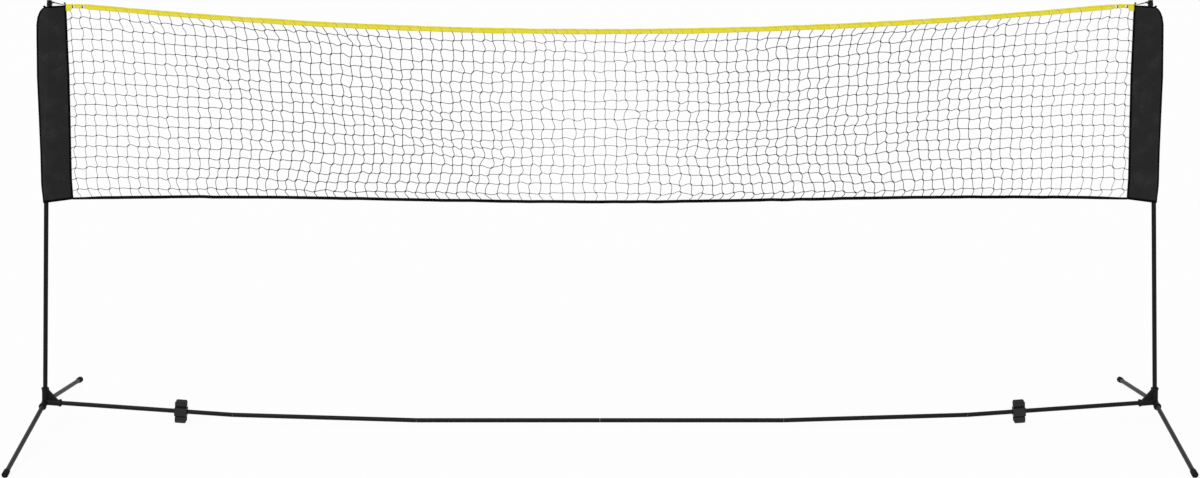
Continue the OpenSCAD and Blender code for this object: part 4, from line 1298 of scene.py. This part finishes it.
tape_corner = lead[2]
tail_turns = np.array([[0, 0, 0], [-2, 3.0, -2.5], [-4.5, 4.0, -6.0]]) * MM
tail = rounded_route(knot_at + tail_turns, 6)
tag_turns = np.array([[0.5, -1, 1.0], [1.0, -1.6, 4.0], [-0.8, -1.5, 7.2]]) * MM
tag_strand = rounded_route(tape_corner + tag_turns, 6)
along_lead = np.linspace(0.05, 0.62, 12)[:, None]
second_strand = knot_at + along_lead * (tape_corner - knot_at) + np.array([0, -1.6, -0.4]) * MM
entry_at = tape_corner + np.array([-0.4, 0, 0.1]) * MM
shoulder_at = np.array([pole_x(sleeve_top) - 17.5 * MM, 0, sleeve_top - 0.4 * MM])
loop_part = joined([tubes(neck_turn(), CORD / 2, 10, across=pole_up),
                    knot(knot_at + 0.4 * MM * cap_side, cap_side, 1.95, 2.3, 2.6),
                    tubes(tail, CORD / 2 * 0.9, CORD_SIDES),
                    tubes(second_strand, CORD / 2, CORD_SIDES),
                    knot(entry_at, unit(tape_corner - lead[1]), 1.7, 2.2, 1.9, 0.85),
                    tubes(tag_strand, CORD / 2, CORD_SIDES),
                    knot(tag_strand[-1], unit(np.array([-0.87, 0, 0.5])), 1.7, 2.3, 2.4, 1.15),
                    knot(shoulder_at, unit(np.array([0.9, 0, 0.43])), 2.1, 2.4, 2.8, 1.15)])
pair("cord_knots", "cord_loop", loop_part, "cord")

# %% [markdown]
# ## Eyelets
#
# An eyelet is a short brass barrel with a flange, pushed through the hole and rolled over a washer. Turned
# once round the hole's axis, one closed profile gives the barrel and both rolled rims.

# %% Eyelets
RIM_SIDES = 48
FLANGE = 0.8 * MM


def eyelet(centre, half):
    """A closed profile (radius, y) turned about the line through the centre along y: rim, barrel, rim."""
    hole, rim = EYELET_HOLE_R, EYELET_R
    r = np.array([hole, hole, hole + 0.25 * MM, hole + 0.9 * MM, rim - 1.2 * MM, rim - 0.3 * MM, rim,
                  rim - 0.15 * MM, rim - 0.9 * MM, hole + 0.75 * MM, hole + 0.7 * MM])
    y = np.array([0, half * 0.8, half + 0.45 * MM, half + 0.75 * MM, half + 0.7 * MM, half + 0.45 * MM,
                  half + 0.15 * MM, half - 0.05 * MM, half, half, half * 0.8])
    r = np.concatenate([r, r[::-1][:-1]])
    y = np.concatenate([y, -y[::-1][:-1]])
    turn = (2 * math.pi * np.arange(RIM_SIDES) / RIM_SIDES)[:, None]
    rings = np.stack([centre[0] + np.cos(turn) * r, np.broadcast_to(y, (RIM_SIDES, len(y))),
                      centre[1] + np.sin(turn) * r], -1)[None]
    return skin(rings, np.linspace(0, EYELET_GIRTH, len(r) + 1), lengths(rings[:, :, 0]), hoop=True)


flange_y = float(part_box("eyelets_left")[1][1])
print("eyelet flanges at y = +-%.2f mm" % (1000 * flange_y))
eyelet_part = joined([eyelet(centre, flange_y - FLANGE) for centre in left_eyelets])
pair("eyelet_rims", "eyelets", eyelet_part, "eyelet_metal")

# %% [markdown]
# ## Floor, light and camera
#
# The floor is a very large pale plane, so that no edge of it shows from any side. To the camera, and in
# gloss and glass, it is mostly plain white, mixed with enough of its own shaded surface to keep the shadow.

# %% Floor
FLOOR_HALF = 120.0
PLAIN_WHITE = 0.95


def plain_rays(finish):
    """1 for the camera's, glossy and transmission rays, to which floor and sky are plain white, else 0."""
    seen = finish.node("ShaderNodeLightPath", out="Is Camera Ray")
    both = {0: seen + seen.beside("Is Glossy Ray"), 1: seen.beside("Is Transmission Ray")}
    return finish.node("ShaderNodeMath", {"operation": "ADD", "use_clamp": True}, both)


def pale_floor():
    """A matt floor, mixed with a white glow of strength 1 for the plain rays."""
    finish = Finish("pale_floor")
    grain = finish.noise(3, detail=3)
    matt = finish.node("ShaderNodeBsdfPrincipled", None,
                       {"Base Color": finish.blend((0.86, 0.86, 0.86), (0.90, 0.90, 0.90), grain),
                        "Roughness": 0.9, "Specular IOR Level": 0.1})
    white = finish.node("ShaderNodeEmission", None, {"Color": (1, 1, 1), "Strength": 1.0})
    share = plain_rays(finish) * PLAIN_WHITE
    both = finish.node("ShaderNodeMixShader", None, {0: share, 1: matt, 2: white})
    finish.node("ShaderNodeOutputMaterial", None, {"Surface": both})
    return finish.made


floor_mesh = bpy.data.meshes.new("floor")
floor_mesh.from_pydata([(x * FLOOR_HALF, y * FLOOR_HALF, 0) for x, y in ((-1, -1), (1, -1), (1, 1), (-1, 1))],
                       [], [(0, 1, 2, 3)])
floor_mesh.materials.append(pale_floor())
floor = placed("floor", floor_mesh)
print("the floor reaches %g m from the net" % FLOOR_HALF)

# %% [markdown]
# The light is plain: an even white sky for most of it, and one broad sun from the upper left that shapes the
# tubes. Together they light a surface that faces the camera so that its colour renders about as written.

# %% Sky and sun
SKY = 0.496
SUN = 1.35
studio = Finish("studio", bpy.data.worlds)
strength = plain_rays(studio) * (1 - SKY) + SKY
light = studio.node("ShaderNodeBackground", None, {"Color": (1, 1, 1), "Strength": strength})
studio.node("ShaderNodeOutputWorld", None, {"Surface": light})
bpy.context.scene.world = studio.made

sun_data = bpy.data.lights.new("sun", "SUN")
sun_data.energy = SUN
sun_data.angle = math.radians(25)
sun = placed("sun", sun_data)
sun.rotation_euler = (math.radians(42), math.radians(-12), math.radians(-18))
print("sky %.2f, sun %.2f" % (SKY, SUN))

# %% [markdown]
# The camera stands in front of the middle of the net, a metre higher than the top tape, and looks down on it.

# %% Camera
LENS = 60.52
LOOKS_DOWN = 14.4

camera_data = bpy.data.cameras.new("camera")
camera_data.sensor_width = 36.0
camera_data.lens = LENS
camera_data.clip_end = 500
camera = placed("camera", camera_data)
camera.location = (0.0, -6.894, 2.470)
camera.rotation_euler = (math.radians(90 - LOOKS_DOWN), 0.0, 0.0)
bpy.context.scene.camera = camera
bpy.context.scene.view_settings.view_transform = "Standard"
print("camera at", tuple(round(v, 3) for v in camera.location), "with a lens of", LENS, "mm")

# %% [markdown]
# Last, the view layer is updated.

# %% Finish
bpy.context.view_layer.update()
